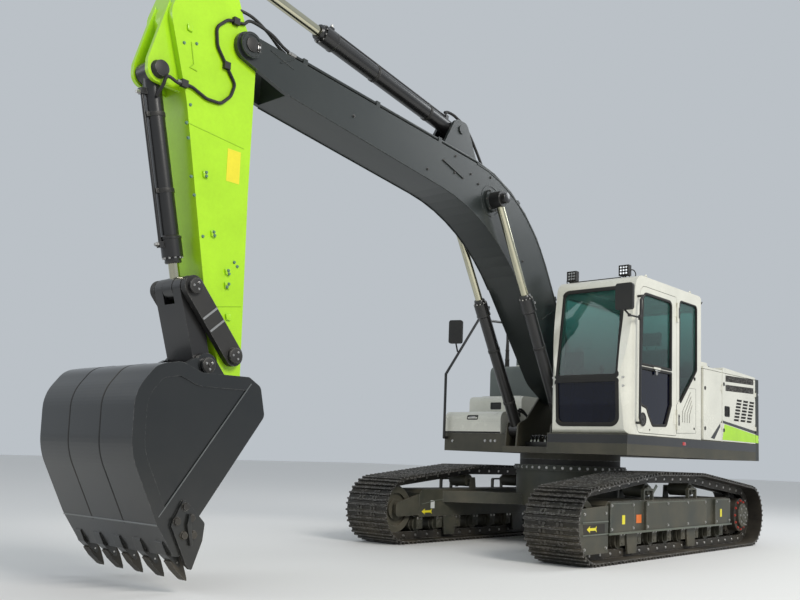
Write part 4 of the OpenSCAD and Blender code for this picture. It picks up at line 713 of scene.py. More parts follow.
def screen_tree():
    """A wire screen along the edges of a flat grid."""
    t, gi, go = new_tree("Screen", Wire=0.0012)
    wires = add(t, "GeometryNodeMeshToCurve", {"Mesh": gi.outputs["Geometry"]})
    section = add(t, "GeometryNodeCurvePrimitiveCircle", {"Resolution": 4, "Radius": gi.outputs["Wire"]})
    round_wires = add(t, "GeometryNodeCurveToMesh",
                      {"Curve": wires.outputs[0], "Profile Curve": section.outputs[0]})
    return finish_tree(t, gi, go, round_wires.outputs[0])


def grow(name, tree, points, edges, aims, values, body, material):
    """Runs a tree over points in millimetres and keeps the plain mesh as a piece."""
    me = bpy.data.meshes.new(name)
    me.from_pydata([place(p) for p in points], edges, [])
    if aims:
        aim = me.attributes.new("aim", "FLOAT_VECTOR", "POINT")
        for i, d in enumerate(aims):
            aim.data[i].vector = Vector(d).normalized()
    ob = bpy.data.objects.new(name, me)
    bpy.context.scene.collection.objects.link(ob)
    m = ob.modifiers.new(tree, "NODES")
    m.node_group = trees[tree]
    values["Material"] = materials[material]
    for item in m.node_group.interface.items_tree:
        if item.in_out == "INPUT" and item.name in values:
            m[item.identifier] = values[item.name]
    apply_modifiers(ob)
    shade(ob)
    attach(ob, body)


def bolts(name, spots, body, material="steel_bright", width=22, height=10, tree="Fasteners"):
    """Bolts at (point, direction) pairs."""
    points, aims = zip(*spots)
    grow(name, tree, points, [], aims, {"Width": width / 1000, "Height": height / 1000}, body, material)


def slats(name, spots, size, body, material):
    """Bars of a size in millimetres at (point, direction) pairs."""
    points, aims = zip(*spots)
    grow(name, "Slats", points, [], aims, {"Size": tuple(v / 1000 for v in size)}, body, material)


def screen(name, corners, cells, body, material):
    """A wire screen across four corners, with so many cells along and across."""
    a, b, c, d = (Vector(p) for p in corners)
    n, m = cells
    points = [(a.lerp(b, i / n)).lerp(d.lerp(c, i / n), j / m) for j in range(m + 1) for i in range(n + 1)]
    edges = [(j * (n + 1) + i, j * (n + 1) + i + 1) for j in range(m + 1) for i in range(n)]
    edges += [(j * (n + 1) + i, (j + 1) * (n + 1) + i) for j in range(m) for i in range(n + 1)]
    grow(name, "Screen", points, edges, [], {"Wire": 0.0012}, body, material)


def hose(name, path, r, start):
    """A hose along a path between two points, left fixed in place and tied to no body."""
    ob = Shape().tube(path, r).piece(name, None, "hose_rubber")
    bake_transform(ob)


def heads(rows, y, s):
    """(point, direction) pairs on a side, from rows of x and z."""
    return [((x, y, z), (0, s, 0)) for x, z in rows]


def circle(centre, r, count, start=0.0):
    """Points round a centre, as pairs."""
    return [(centre[0] + r * math.cos(start + 2 * math.pi * i / count),
             centre[1] + r * math.sin(start + 2 * math.pi * i / count)) for i in range(count)]


# Operators


class EXCAVATOR_OT_finishes(bpy.types.Operator):
    """Give every solid of the machine its finished material"""

    bl_idname = "excavator.finishes"
    bl_label = "Finishes"

    def execute(self, context):
        make_materials(context.scene.excavator_colours)
        slots = {s["node"]: s["material_slot"] for s in frame["record"]["subparts"]}
        for name, ob in nodes.items():
            ob.data.materials.clear()
            ob.data.materials.append(materials[slots[name]])
        for tree in (fastener_tree(), button_tree(), slat_tree(), screen_tree()):
            trees[tree.name] = tree
        return {"FINISHED"}


class EXCAVATOR_OT_cab(bpy.types.Operator):
    """Add the cab's seals, caps, lock, loudspeaker, lamps and mirror glasses"""

    bl_idname = "excavator.cab"
    bl_label = "Cab fittings"

    def execute(self, context):
        wide = context.scene.excavator_sizes.seal
        left, right = side_wall(SIDE), side_wall(CAB_RIGHT, -1)
        rear_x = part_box("cab_shell")[0].x * 1000 - SLEW_X * 1000
        seals = Shape()
        # Pane, wall, width inwards and outwards, height over the wall
        for pane, wall, inner, outer, high in (
                (FRONT_UPPER, front_wall, wide, 16, 5), (FRONT_LOWER, front_wall, wide, 16, 5),
                (REAR_PANE, left, 12, 5, 3), (RIGHT_PANE, right, 16, 10, 4),
                (BACK_PANE, lambda p, q, h: (rear_x - h, q[0], q[1]), 16, 10, 4)):
            seals.ring(rounded(pane), wall, inner, outer, -18, high)
        seals.piece("window_seals", "upper", "rubber")
        door = Shape()
        for pane in (DOOR_LOW, DOOR_HIGH):
            door.ring(rounded(pane), left, 16, 12, -18, 4)
        door.piece("door_seals", "cab_door_leaf", "rubber")
        # Round heads of the catches on the cab's front pillars: y, z
        catches = [(front_wall(None, spot, 0), FORWARD) for spot in (
            (1290, 1869), (1290, 1779), (436, 1885), (436, 1788), (1280, 1345), (440, 1335))]
        bolts("pillar_catches", catches, "upper", "steel_bright", 30, 16, "Buttons")
        self.door()
        self.side_panel()
        self.lamps()
        self.mirrors()
        return {"FINISHED"}

    def door(self):
        """Lock and pull, loudspeaker and hinge leaves of the door"""
        lock = Shape().cap((481, 1965), SIDE, 1, [(-2, 26), (6, 26), (9, 22), (9, 12), (14, 11)])
        lock.rod((430, SIDE + 14, 1984), (540, SIDE + 14, 1984), 6)
        lock.block((466, SIDE - 2, 1940), (496, SIDE + 7, 1990))
        lock.piece("door_lock", "cab_door_leaf", "steel_bright", bevel=1.5)
        x, z = 810, 1443
        rim = Shape().cap((x, z), SIDE + 9, 1, [(-2, 74), (4, 74), (8, 68), (8, 62), (2, 58)], 40)
        rim.piece("loudspeaker_rim", "cab_door_leaf", "black_plastic")
        cone = Shape().cap((x, z), SIDE + 9, 1, [(-1, 60), (2, 58), (5, 20), (9, 14)], 32)
        cone.piece("loudspeaker_cone", "cab_door_leaf", "cast_steel")
        holes = [(x + 9 * i, z + 9 * j) for i in range(-5, 6) for j in range(-5, 6)
                 if 15 < math.hypot(9 * i, 9 * j) < 52]
        bolts("loudspeaker_holes", heads(holes, SIDE + 12, 1), "cab_door_leaf",
              "steel_bright", 4, 3, "Buttons")
        leaves, screws = Shape(), []
        for z in (1480, 2700):
            leaves.block((-92, SIDE - 1, z - 62), (-18, SIDE + 5, z + 62))
            screws += [(x, z + dz) for dz in (42, -42) for x in (-74, -36)]
        leaves.piece("door_hinge_plates", "upper", "black_paint", bevel=2)
        bolts("door_hinge_screws", heads(screws, SIDE + 4, 1), "upper", "cast_steel", 14, 7)

    def side_panel(self):
        """Line, plugs and painted shade in the slots of the panel behind the door, and the trim of the cab's
        rear edge
        """
        panel = [(-19, 1330), (-17, 1643), (-224, 1857), (-528, 1866), (-529, 1350)]
        seam = Shape().strip(panel + panel[:1], side_wall(SIDE), 3, -1, 1.2)
        seam.piece("side_panel_line", "upper", "rubber")
        plug = Shape().cap((-493, 1980), SIDE, 1, [(-2, 21), (4, 21), (7, 16)])
        plug.cap((-480, 1400), SIDE, 1, [(-2, 13), (5, 13), (7, 9)])
        plug.cap((637, 1340), SIDE, 1, [(-2, 9), (4, 9), (6, 6)])
        plug.piece("side_panel_plugs", "upper", "rubber")
        # Dark backs in the panel's slots, painted shade inside them: x and z of the bend, x and z of the top
        backs = Shape()
        for x, z, x1, z1 in ((-173, 1582, -388, 1818), (-235, 1571, -402, 1768), (-297, 1560, -416, 1719),
                             (-359, 1550, -430, 1669)):
            for (a, b), (c, d) in (((x, 1460), (x, z)), ((x, z), (x1, z1))):
                backs.prism([(a - 8, b), (a + 8, b), (c + 8, d), (c - 8, d)], SIDE - 8.9, SIDE - 5)
        backs.piece("side_panel_slot_shade", "upper", "rubber", smooth=False)
        trim = Shape().tube([(-700, SIDE + 1, 2920), (-716, SIDE - 20, 2900), (-722, SIDE - 40, 2860),
                             (-722, SIDE - 40, 2200)], 7)
        trim.piece("rear_edge_trim", "upper", "rubber")

    def lamps(self):
        """Lens, cells, bracket and cable of each work lamp"""
        frames, cells, cables = Shape(), [], Shape()
        z = ROOF + 94
        for y, out in ((462, -1), (1120, 1)):
            frames.ring([(y - 60, z - 58), (y + 60, z - 58), (y + 60, z + 58), (y - 60, z + 58)],
                        front_plane(782), 9, -1, -1, 6)
            for edge in both(37):
                frames.block((708, y + edge - 3, z - 64), (752, y + edge + 3, z + 10))
            for k in range(6):
                frames.block((706, y - 54, z - 48 + 18 * k), (721, y + 54, z - 42 + 18 * k))
            cells += [((781, y + 33 * i, z + 33 * j), FORWARD) for i in (-1, 0, 1) for j in (-1, 0, 1)]
            # Cable from the lamp's back down to the roof: x, distance outwards, z
            route = ((724, 20, z + 4), (712, 78, z + 6), (706, 104, z - 34), (702, 96, z - 72),
                     (690, 60, ROOF + 8), (640, 54, ROOF + 6))
            cables.tube([(x, y + d * out, h) for x, d, h in route], 6)
        frames.tube([(828, 470, ROOF + 3), (828, 1112, ROOF + 3)], 10)
        frames.piece("lamp_frames", "upper", "black_plastic", bevel=1)
        cables.piece("lamp_cables", "upper", "hose_rubber")
        bolts("lamp_cells", cells, "upper", "lamp_glass", 28, 7, "Buttons")

    def mirrors(self):
        """Glass on the rear face of each mirror, and the left one's clamp"""
        glass = Shape()
        # Middle of the lower edge, turn about the vertical, half width, height
        for centre, turn, half, high in (((1180, SIDE - 16, 2560), 0, 88, 256),
                                         ((600, -1346, 2420), 20, 78, 276)):
            cos, sin = math.cos(math.radians(turn)), math.sin(math.radians(turn))
            u, n, c = Vector((-sin, cos, 0)), Vector((-cos, -sin, 0)), Vector(centre)
            flat = rounded([(-half, 12, 22), (half, 12, 22), (half, 12 + high, 22), (-half, 12 + high, 22)])
            glass.rings([[tuple(c + u * a + Vector((0, 0, b)) + n * h) for a, b in flat]
                         for h in (19, 21.5)])
        glass.piece("mirror_glasses", "upper", "mirror_glass")
        clamp = Shape().disc((985, SIDE + 60, 2500), UP, [(-26, 20), (26, 20)])
        clamp.disc((1180, SIDE + 38, 2500), UP, [(-14, 17), (14, 17)])
        clamp.piece("mirror_clamps", "upper", "black_plastic", bevel=2)


def cushion(name, side, half, voxel, cap, grooves, node):
    """A stuffed pad: a block swells as cloth under pressure, then its sewn grooves are pressed in."""
    ob = bpy.data.objects.new(name, Shape().prism(rounded(side), SEAT - half, SEAT + half).mesh(name))
    bpy.context.scene.collection.objects.link(ob)
    m = ob.modifiers.new("Voxels", "REMESH")
    m.mode, m.voxel_size = "VOXEL", voxel
    apply_modifiers(ob)
    start = [v.co.copy() for v in ob.data.vertices]
    base = min(p.z for p in start) + 0.004
    held = ob.vertex_groups.new(name="held")
    held.add([i for i, p in enumerate(start) if p.z < base], 1.0, "REPLACE")
    m = ob.modifiers.new("Cloth", "CLOTH")
    m.settings.use_pressure, m.settings.uniform_pressure_force = True, 4
    m.settings.effector_weights.gravity = 0
    m.settings.vertex_group_mass = held.name
    for number in range(1, 21):
        bpy.context.scene.frame_set(number)
    apply_modifiers(ob)
    bpy.context.scene.frame_set(1)
    for v, p in zip(ob.data.vertices, start):
        move = v.co - p
        v.co = p + move * min(1, cap / max(move.length, 1e-9))
    ob.vertex_groups.clear()
    ob.modifiers.new("Finer", "SUBSURF").levels = 1
    apply_modifiers(ob)
    # Grooves: number of the axis, place along it in metres
    normals = [v.normal.copy() for v in ob.data.vertices]
    for v, n in zip(ob.data.vertices, normals):
        deep = sum(math.exp(-((v.co[axis] - at) / 0.006) ** 2) for axis, at in grooves)
        v.co -= n * 0.008 * min(1, deep)
    shade(ob, 3.2)
    ob.data.materials.clear()
    ob.data.materials.append(materials["seat_cloth"])
    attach(ob, "upper")
    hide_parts(node)


class EXCAVATOR_OT_seat(bpy.types.Operator):
    """Make the seat's cushion, back and headrest as stuffed pads"""

    bl_idname = "excavator.seat"
    bl_label = "Seat"

    def execute(self, context):
        middle = SEAT / 1000
        bolsters = [(1, middle - 0.16), (1, middle + 0.16)]
        cushion("seat_pad", [(-184, 1702, 15), (274, 1702, 30), (274, 1794, 40), (-184, 1786, 25)],
                228, 0.007, 0.018, bolsters + [(0, SLEW_X - 0.02), (0, SLEW_X + 0.12)], "seat_cushion")
        cushion("back_pad", [(-290, 1703, 15), (-224, 1703, 15), (-302, 2346, 30), (-386, 2338, 30)],
                218, 0.007, 0.018, bolsters + [(2, 1.92), (2, 2.14)], "seat_back")
        cushion("head_pad", [(-384, 2378, 15), (-312, 2383, 20), (-332, 2546, 35), (-398, 2538, 30)],
                118, 0.006, 0.012, [], "seat_back")
        posts = Shape()
        for y in both(60):
            posts.rod((-348, SEAT + y, 2325), (-348, SEAT + y, 2395), 8)
        posts.piece("headrest_posts", "upper", "steel_bright")
        # Half of the belt's way, from the buckle's side to the middle: x, y from the seat's middle, z
        half = [(-226, -252, 1690), (-212, -256, 1770), (-150, -200, 1822), (-60, -60, 1830)]
        way = half + [(x, -y, z) for x, y, z in half[::-1]]
        belt = Shape().tube([(x, SEAT + y, z) for x, y, z in way], 7, 8, 5)
        belt.piece("seat_belt", "upper", "black_plastic")
        return {"FINISHED"}


class EXCAVATOR_OT_house(bpy.types.Operator):
    """Add the body's stripe, screens, locks, toolbox handle, caps and lamps"""

    bl_idname = "excavator.house"
    bl_label = "Body fittings"

    def execute(self, context):
        self.stripes()
        self.screens()
        self.locks()
        self.top()
        self.rear()
        self.front()
        self.pipes()
        return {"FINISHED"}

    def stripes(self):
        """The stripe in two colours, cut at the panels' seams, and a black band painted as shade along the
        skirt's upper part
        """
        stripe = {"dark": [(-954, 1313), (-1060, 1300), (-1290, 1509), (-2490, 1402), (-2490, 1442),
                           (-1290, 1540)],
                  "light": [(-1367, 1496), (-2490, 1393), (-2488, 1297), (-1302, 1301)]}
        for s, body, x0, x1 in ((1, "left_front_leaf", -1280, -744), (1, "left_rear_leaf", -2384, -1309),
                                (1, "upper", -2490, -2392), (-1, "right_leaf", -2384, -1309),
                                (-1, "upper", -2490, -2392)):
            for shade_name, paint in (("dark", "black_paint"), ("light", "lime_paint")):
                part = clip(stripe[shade_name], x0, x1)
                if len(part) > 2:
                    Shape().prism(part, s * (SIDE - 1), s * (SIDE + 1.2)).piece(
                        f"{hand(s)}_stripe_{shade_name}_{body}", body, paint, smooth=False)
        # Painted shade: a black band over the skirt's upper part, which lies in shade
        band = Shape()
        for s, x1 in ((1, 1127), (-1, 733)):
            band.block((-2386, s * (SIDE - 1), 1178), (x1, s * (SIDE + 1.2), 1270))
        band.block((1126, 402, 1178), (1129.2, SIDE, 1270))
        band.piece("skirt_shade_band", "upper", "black_paint", smooth=False)

    def screens(self):
        """Wire screens, louvres and slats in the grilles of the rear doors, with dark sheets behind them as
        painted shade
        """
        # First louvre of each column and the rise from one to the next: x, z
        columns = [(x - 16 * i, 1550 + 42 * i) for x in (-1745, -1960, -2170) for i in range(7)]
        for s, body in ((1, "left_rear_leaf"), (-1, "right_leaf")):
            y = s * (SIDE - 5)
            for i, z in enumerate((2052, 1936)):
                frame_line = [(-2328, z + 2), (-1402, z - 24), (-1402, z + 50), (-2328, z + 76)]
                screen(f"{body}_screen{i}", [(a, y, b) for a, b in frame_line], (96, 8), body, "cast_steel")
                # Painted shade: a dark sheet behind each screen, where the grille's inside lies in shade
                Shape().prism(frame_line, y - s * 3.8, y - s * 2).piece(
                    f"{body}_screen_shade{i}", body, "rubber", smooth=False)
            slats(f"{body}_louvre_lips", [((x - 4, y, z + 21), FORWARD) for x, z in columns],
                  (164, 6, 5), body,
                  "black_plastic")
            dark = Shape()
            for x, z in columns:
                dark.prism([(x - 83, z + 1), (x + 83, z + 1), (x + 75, z + 27), (x - 91, z + 27)],
                           s * (SIDE - 8.9), s * (SIDE - 7))
            dark.prism([(-1520, 1600), (-1377, 1600), (-1377, 1713), (-1520, 1713)],
                       s * (SIDE - 8.9), s * (SIDE - 7))
            dark.piece(f"{body}_louvre_shade", body, "rubber", smooth=False)
            small = [((-1448, s * (SIDE - 4), 1612 + 15 * k), FORWARD) for k in range(7)]
            slats(f"{body}_small_slats", small, (138, 6, 5), body, "black_plastic")
            rim = [(-1525, 1595, 14), (-1372, 1595, 14), (-1372, 1718, 14), (-1525, 1718, 14)]
            Shape().ring(rounded(rim), side_wall(s * SIDE, s), 8, 5, -5, 3).piece(
                f"{body}_small_frame", body, "black_plastic")

    def locks(self):
        """Push locks of the side doors, with their keyways"""
        for body, s, places in (("left_front_leaf", 1, ((-790, 1900), (-790, 1420))),
                                ("left_rear_leaf", 1, ((-1350, 1990), (-1350, 1420))),
                                ("right_leaf", -1, ((-1350, 1990), (-1350, 1420)))):
            lock, slots = Shape(), Shape()
            for x, z in places:
                lock.cap((x, z), s * SIDE, s, [(-2, 24), (3, 24), (5, 20), (5, 12), (2, 10)])
                slots.block((x - 7, s * (SIDE - 1), z - 2), (x + 7, s * (SIDE + 6), z + 2))
            lock.piece(f"{body}_locks", body, "black_plastic")
            slots.piece(f"{body}_lock_keys", body, "steel_bright")

    def top(self):
        """Filler cap, boot, walkway, and the hood's catches and rims"""
        x, y = -480, -1100
        cap = Shape().disc((x, y, 2384), UP, [(0, 50), (6, 50), (12, 44), (12, 16), (20, 14)], 32)
        cap.block((x - 32, y - 6, 2390), (x + 32, y + 6, 2408))
        cap.piece("filler_cap_top", "upper", "black_plastic", bevel=1.5)
        neck = Shape().disc((x, y, 2200), UP, [(0, 66), (8, 66), (12, 44), (30, 42)], 32)
        neck.piece("filler_flange", "upper", "body_paint")
        bolts("filler_bolts", [((a, b, 2208), UP) for a, b in circle((x, y), 54, 6)], "upper",
              "steel_bright", 12, 6)
        boot = Shape().disc((-515, -1326, 2202), UP, [
            (0, 40), (10, 40), (14, 32), (110, 29), (120, 34), (132, 28), (240, 25), (250, 30), (262, 24),
            (380, 20)], 20)
        boot.piece("handrail_boot", "upper", "rubber")
        pads, studs = Shape(), []
        for x in (-1050, -900, -750, -600):
            pads.block((x - 55, -1330, 2200), (x + 55, -700, 2203))
            studs += [((x + 28 * i, y, 2203), UP) for i in (-1, 0, 1) for y in range(-1300, -720, 45)]
        pads.piece("walkway_pads", "upper", "black_plastic", bevel=1)
        bolts("walkway_studs", studs, "upper", "steel_bright", 12, 4, "Buttons")
        catches = Shape()
        for y in both(900):
            catches.block((-1362, y - 30, 2196), (-1318, y + 30, 2206))
            catches.block((-1352, y - 10, 2205), (-1322, y + 10, 2220))
        catches.piece("hood_catches", "hood_leaf", "black_plastic", bevel=2)
        bolts("dome_bolts", [((x, y, 2196), UP) for y in (1022, 1248) for x in (-1168, -872)], "upper",
              "cast_steel", 12, 5)
        rim = Shape().disc((-1550, -820, 2567), UP, [(-6, 63), (2, 66), (2, 56), (-60, 55)], 40)
        rim.disc((-1550, -820, 2300), UP, [(-14, 62), (-14, 67), (14, 67), (14, 62)], 40)
        rim.piece("exhaust_rims", "hood_leaf", "steel_bright")

    def rear(self):
        """Tail lamps in the counterweight, with their rims, and the skirt's reflectors"""
        lamps, rims = Shape(), Shape()
        for y0, y1 in ((860, 1080), (-1080, -860)):
            lamps.block((-2594, y0 + 12, 1512), (-2586, y1 - 12, 1628))
            rims.block((-2592, y0 + 2, 1502), (-2588, y1 - 2, 1638))
        lamps.piece("tail_lamps", "upper", "lamp_red", bevel=3)
        rims.piece("tail_lamp_rims", "upper", "black_plastic", bevel=1)
        for s in (-1, 1):
            Shape().block((-255, s * (SIDE - 1), 1200), (-175, s * (SIDE + 4), 1236)).piece(
                f"reflector_{hand(s)}", "upper", "lamp_red", bevel=2)

    def front(self):
        """Handles and sill of the toolbox and the step box, and the skirt's bolts"""
        x = onto("toolbox_lid", (900, -940, 1478), (-1, 0, 0))[0].x
        handle = Shape().ring(
            rounded([(-1020, 1446, 12), (-858, 1446, 12), (-858, 1496, 12), (-1020, 1496, 12)]),
            lambda p, q, h: (onto("toolbox_lid", (900, q[0], q[1]), (-1, 0, 0))[0].x + h, q[0], q[1]),
            10, 4, -2, 4)
        handle.block((x - 2, -1012, 1452), (x + 1, -866, 1490))
        handle.piece("toolbox_handle", "toolbox_leaf", "black_plastic", bevel=1)
        grip = Shape().block((x, -985, 1462), (x + 9, -893, 1480))
        grip.piece("toolbox_grip", "toolbox_leaf", "steel_bright", bevel=3)
        slot = Shape().ring(rounded([(-1026, 1601, 12), (-867, 1601, 12), (-867, 1682, 12),
                                     (-1026, 1682, 12)]),
                            front_plane(245), 12, 4, -2, 4)
        slot.block((244, -1018, 1609), (246, -875, 1674))
        slot.piece("step_box_handle", "upper", "black_plastic", bevel=1)
        sill = Shape().block((734, -1366, 1280), (738, -517, 1300))
        sill.piece("toolbox_sill", "upper", "rubber", smooth=False)
        bolts("skirt_bolts", [((735, y, z), FORWARD) for y, z in (
            (-1239, 1180), (-737, 1188), (-651, 1189), (-588, 1190))], "upper", "steel_bright", 24, 10)

    def pipes(self):
        """Rigid pipes of the deck, and the hoses to the boom cylinders and to the boom's back"""
        pipes, nuts = Shape(), Shape()
        for y in (-170, -120, -70, 20, 70, 120):
            pipes.tube([(580, y, 1190), (580, y, 1220), (560, y, 1248), (500, y, 1258), (-346, y, 1258)], 12)
            nuts.disc((580, y, 1190), UP, [(0, 22), (14, 22), (14, 16), (26, 16)], 6)
            nuts.disc((480, y, 1258), FORWARD, [(-22, 19), (22, 19)], 6)
            nuts.disc((-350, y, 1258), FORWARD, [(-6, 22), (24, 22), (24, 16), (40, 16)], 6)
        pipes.piece("swivel_pipes", "upper", "black_paint")
        swivel = Shape().block((520, -220, 1130), (640, 150, 1190))
        swivel.piece("swivel_block", "upper", "cast_steel", bevel=4)
        at, d, up = along(BOOM_RAM, BOOM_EYE)
        for s in (-1, 1):
            for k, y in enumerate((272, 326)):
                port = at(150 + 34 * k, 118, s * RAM_Y)
                foot = Vector((300 - 40 * k, s * y, 1126))
                lip = foot + Vector((0, 0, 110))
                hose(f"ram_hose_{hand(s)}{k}", [
                    foot, lip + Vector((4, 0, 0)), Vector((390 - 30 * k, s * y, 1400)),
                    Vector((520, s * (y + RAM_Y) / 2, 1500 + 34 * k)), port + up * 50, port],
                    14, lip)
                nuts.disc(foot, UP, [(0, 21), (30, 21)], 6)
        nuts.piece("swivel_nuts", "upper", "steel_bright", smooth=False)
        for s in (-1, 1):
            for k, y in enumerate((138, 182)):
                start, end = Vector((-330, s * (y - 10), 1500)), Vector((285, s * y, 2187))
                hose(f"boom_hose_{hand(s)}{k}", [
                    start, start + Vector((60, 0, 150)), Vector((-180, s * y, 1900 + 40 * k)),
                    Vector((40, s * y, 2090 + 20 * k)), Vector((190, s * y, 2130)), end],
                    15, (-180, s * y, 1800))
        ends, feet = Shape(), Shape()
        for y in (-182, -138, 138, 182):
            ends.disc((285, y, 2187), (0.59, 0, 0.81), [(-34, 20), (16, 20)], 6)
        ends.piece("boom_pipe_nuts", "boom_arm", "steel_bright", smooth=False)
        for y in (-172, -128, 128, 172):
            feet.disc((-330, y, 1484), (0.35, 0, 1), [(-30, 21), (26, 21)], 6)
        feet.piece("valve_nuts", "upper", "steel_bright", smooth=False)


class EXCAVATOR_OT_undercarriage(bpy.types.Operator):
    """Add the tracks' bolts and links, caps, covers, arrows and labels"""

    bl_idname = "excavator.undercarriage"
    bl_label = "Undercarriage fittings"

    def execute(self, context):
        spots, pins, links = [], [], []
        for share in (0.31, 0.69):
            for p, d in belt_places(share, -LUG):
                spots += [(p + Vector((0, t + y, 0)), d) for t in both(TRACK) for y in (-120, -76, 76, 120)]
        bolts("shoe_bolts", spots, "undercarriage", "track_bolt", 26, 11)
        chain = -LUG - SHOE - CHAIN / 2
        for p, d in belt_places(0.0, chain):
            pins += [(p + Vector((0, t + s * 121, 0)), (0, s, 0)) for t in both(TRACK) for s in (-1, 1)]
        bolts("chain_pins", pins, "undercarriage", "steel_bright", 38, 9, "Buttons")
        for p, d in belt_places(0.5, chain):
            run = Vector((-d.z, 0, d.x))
            links += [(p + Vector((0, t + y, 0)), run) for t in both(TRACK) for y in both(121)]
        slats("link_plates", links, (168, 7, 58), "undercarriage", "cast_steel")
        self.wheels()
        self.frames()
        self.cover_bolts()
        ring = []
        for k in range(44):
            out = Vector((math.cos(2 * math.pi * k / 44), math.sin(2 * math.pi * k / 44), 0))
            ring.append((out * 664 + Vector((0, 0, 895)), out))
        bolts("pedestal_bolts", ring, "undercarriage")
        return {"FINISHED"}

    def wheels(self):
        """Caps and bolts of the idlers, sprockets and rollers"""
        caps, bright, red = Shape(), [], []
        for t in both(TRACK):
            s = 1 if t > 0 else -1
            y = t + s * 182
            caps.cap(SPROCKET, y, s, [(-2, 148), (6, 148), (12, 138), (12, 84), (22, 78), (22, 0.5)], 48)
            red += heads(circle(SPROCKET, 176, 12), t + s * 150, s)
            bright += heads(circle(SPROCKET, 110, 8), y + s * 12, s)
            bright += heads(circle(SPROCKET, 34, 3), y + s * 22, s)
            y = t + s * 151
            caps.cap(IDLER, y, s, [(0, 60), (8, 58), (14, 44), (14, 0.5)], 32)
            bright += heads(circle(IDLER, 36, 4, 0.8), y + s * 12, s)
            for x, z in BOTTOM_ROLLERS:
                for side in both(1):
                    y = t + side * 167
                    caps.cap((x, z), y, side, [(-1, 33), (5, 31), (9, 22), (9, 0.5)], 20)
                    bright += heads([(x + dx, 268) for dx in both(32)], y, side)
            for spot in TOP_ROLLERS:
                y = t + s * 147
                caps.cap(spot, y, s, [(-1, 52), (6, 50), (12, 36), (12, 0.5)], 28)
                bright += heads(circle(spot, 34, 3, 0.5), y + s * 9, s)
        caps.piece("wheel_caps", "undercarriage", "frame_paint")
        bolts("wheel_bolts", bright, "undercarriage", "steel_bright", 20, 9)
        bolts("sprocket_bolts", red, "undercarriage", "red_mark", 24, 14)

    def frames(self):
        """Covers, arrows, labels and rails of the track frames"""
        yellow, orange, dark, rails, white, seams = Shape(), Shape(), Shape(), Shape(), Shape(), Shape()
        arrow = [(0, 0), (58, 42), (50, 16), (150, 16), (176, 38), (164, 0), (176, -38), (150, -16),
                 (50, -16), (58, -42)]
        for t in both(TRACK):
            s = 1 if t > 0 else -1
            nose, cover, inside, outside = t + s * 220, t + s * 224, t - s * 190, t + s * 190
            # Nose plate: edge bars in the lighter frame paint as painted highlight, and the arrow's dark
            # window
            dark.prism([(1660, 300), (2050, 300), (2070, 390), (1660, 390)], nose - s, nose + s * 1.5)
            yellow.prism([(2000 - a * 1.05, 345 + b * 0.8) for a, b in arrow], nose, nose + s * 3)
            for z in (285, 405):
                rails.block((1600, nose - s, z), (2085, nose + 9 * s, z + 13))
            # Labels on the covers: x from, x to, z from, z to
            for x0, x1, z0, z1 in ((1262, 1322, 372, 462), (-1146, -1096, 378, 470)):
                yellow.block((x0, cover - s, z0), (x1, cover + 2 * s, z1))
            orange.block((850, outside - s, 370), (960, outside + 3 * s, 455))
            rails.block((-1420, t + s * 226, 276), (1600, t + s * 238, 296))
            # Cover seams in the lighter frame paint: painted highlight along the covers' edges
            for x0, x1 in ((-1400, -960), (-700, 800), (1060, 1560)):
                seams.strip([(x0 + 14, 304), (x0 + 14, 578), (x1 - 14, 578), (x1 - 14, 304)],
                            side_wall(cover, s), 4, -1, 2)
            # Inner side of the frame: arrow and plate
            yellow.prism([(1560 - a * 1.05, 345 + b * 0.8) for a, b in arrow], inside, inside - s * 3)
            white.block((1330, inside + s, 380), (1400, inside - 2 * s, 470))
            rails.strip([(1560, 430), (1300, 470), (700, 520), (-1300, 520)],
                        side_wall(inside, -s), 6, -1, 7)
            # Strut plates over the frame, in the lighter frame paint as painted highlight
            rails.prism([(500, 612), (560, 612), (380, 760), (345, 740)], t + s * 120, t + s * 128)
        yellow.piece("arrows_and_labels", "undercarriage", "label_yellow", smooth=False)
        orange.piece("orange_squares", "undercarriage", "orange_paint", smooth=False)
        dark.piece("arrow_windows", "undercarriage", "rubber", smooth=False)
        rails.piece("frame_rails", "undercarriage", "frame_highlight_paint", bevel=1.5)
        white.piece("blank_plates", "undercarriage", "white_plate", smooth=False)
        seams.piece("cover_seams", "undercarriage", "frame_highlight_paint")

    def cover_bolts(self):
        """Bolts of the track frames' covers and nose plates"""
        spots = []
        for t in both(TRACK):
            s = 1 if t > 0 else -1
            covers = [(x, z) for x in (-1370, -990, -670, -200, 300, 770, 1090, 1530) for z in (330, 560)]
            spots += heads(covers, t + s * 224, s)
            spots += heads([(x, z) for x in (1640, 2040) for z in (160, 490)], t + s * 220, s)
        bolts("cover_bolts", spots, "undercarriage")


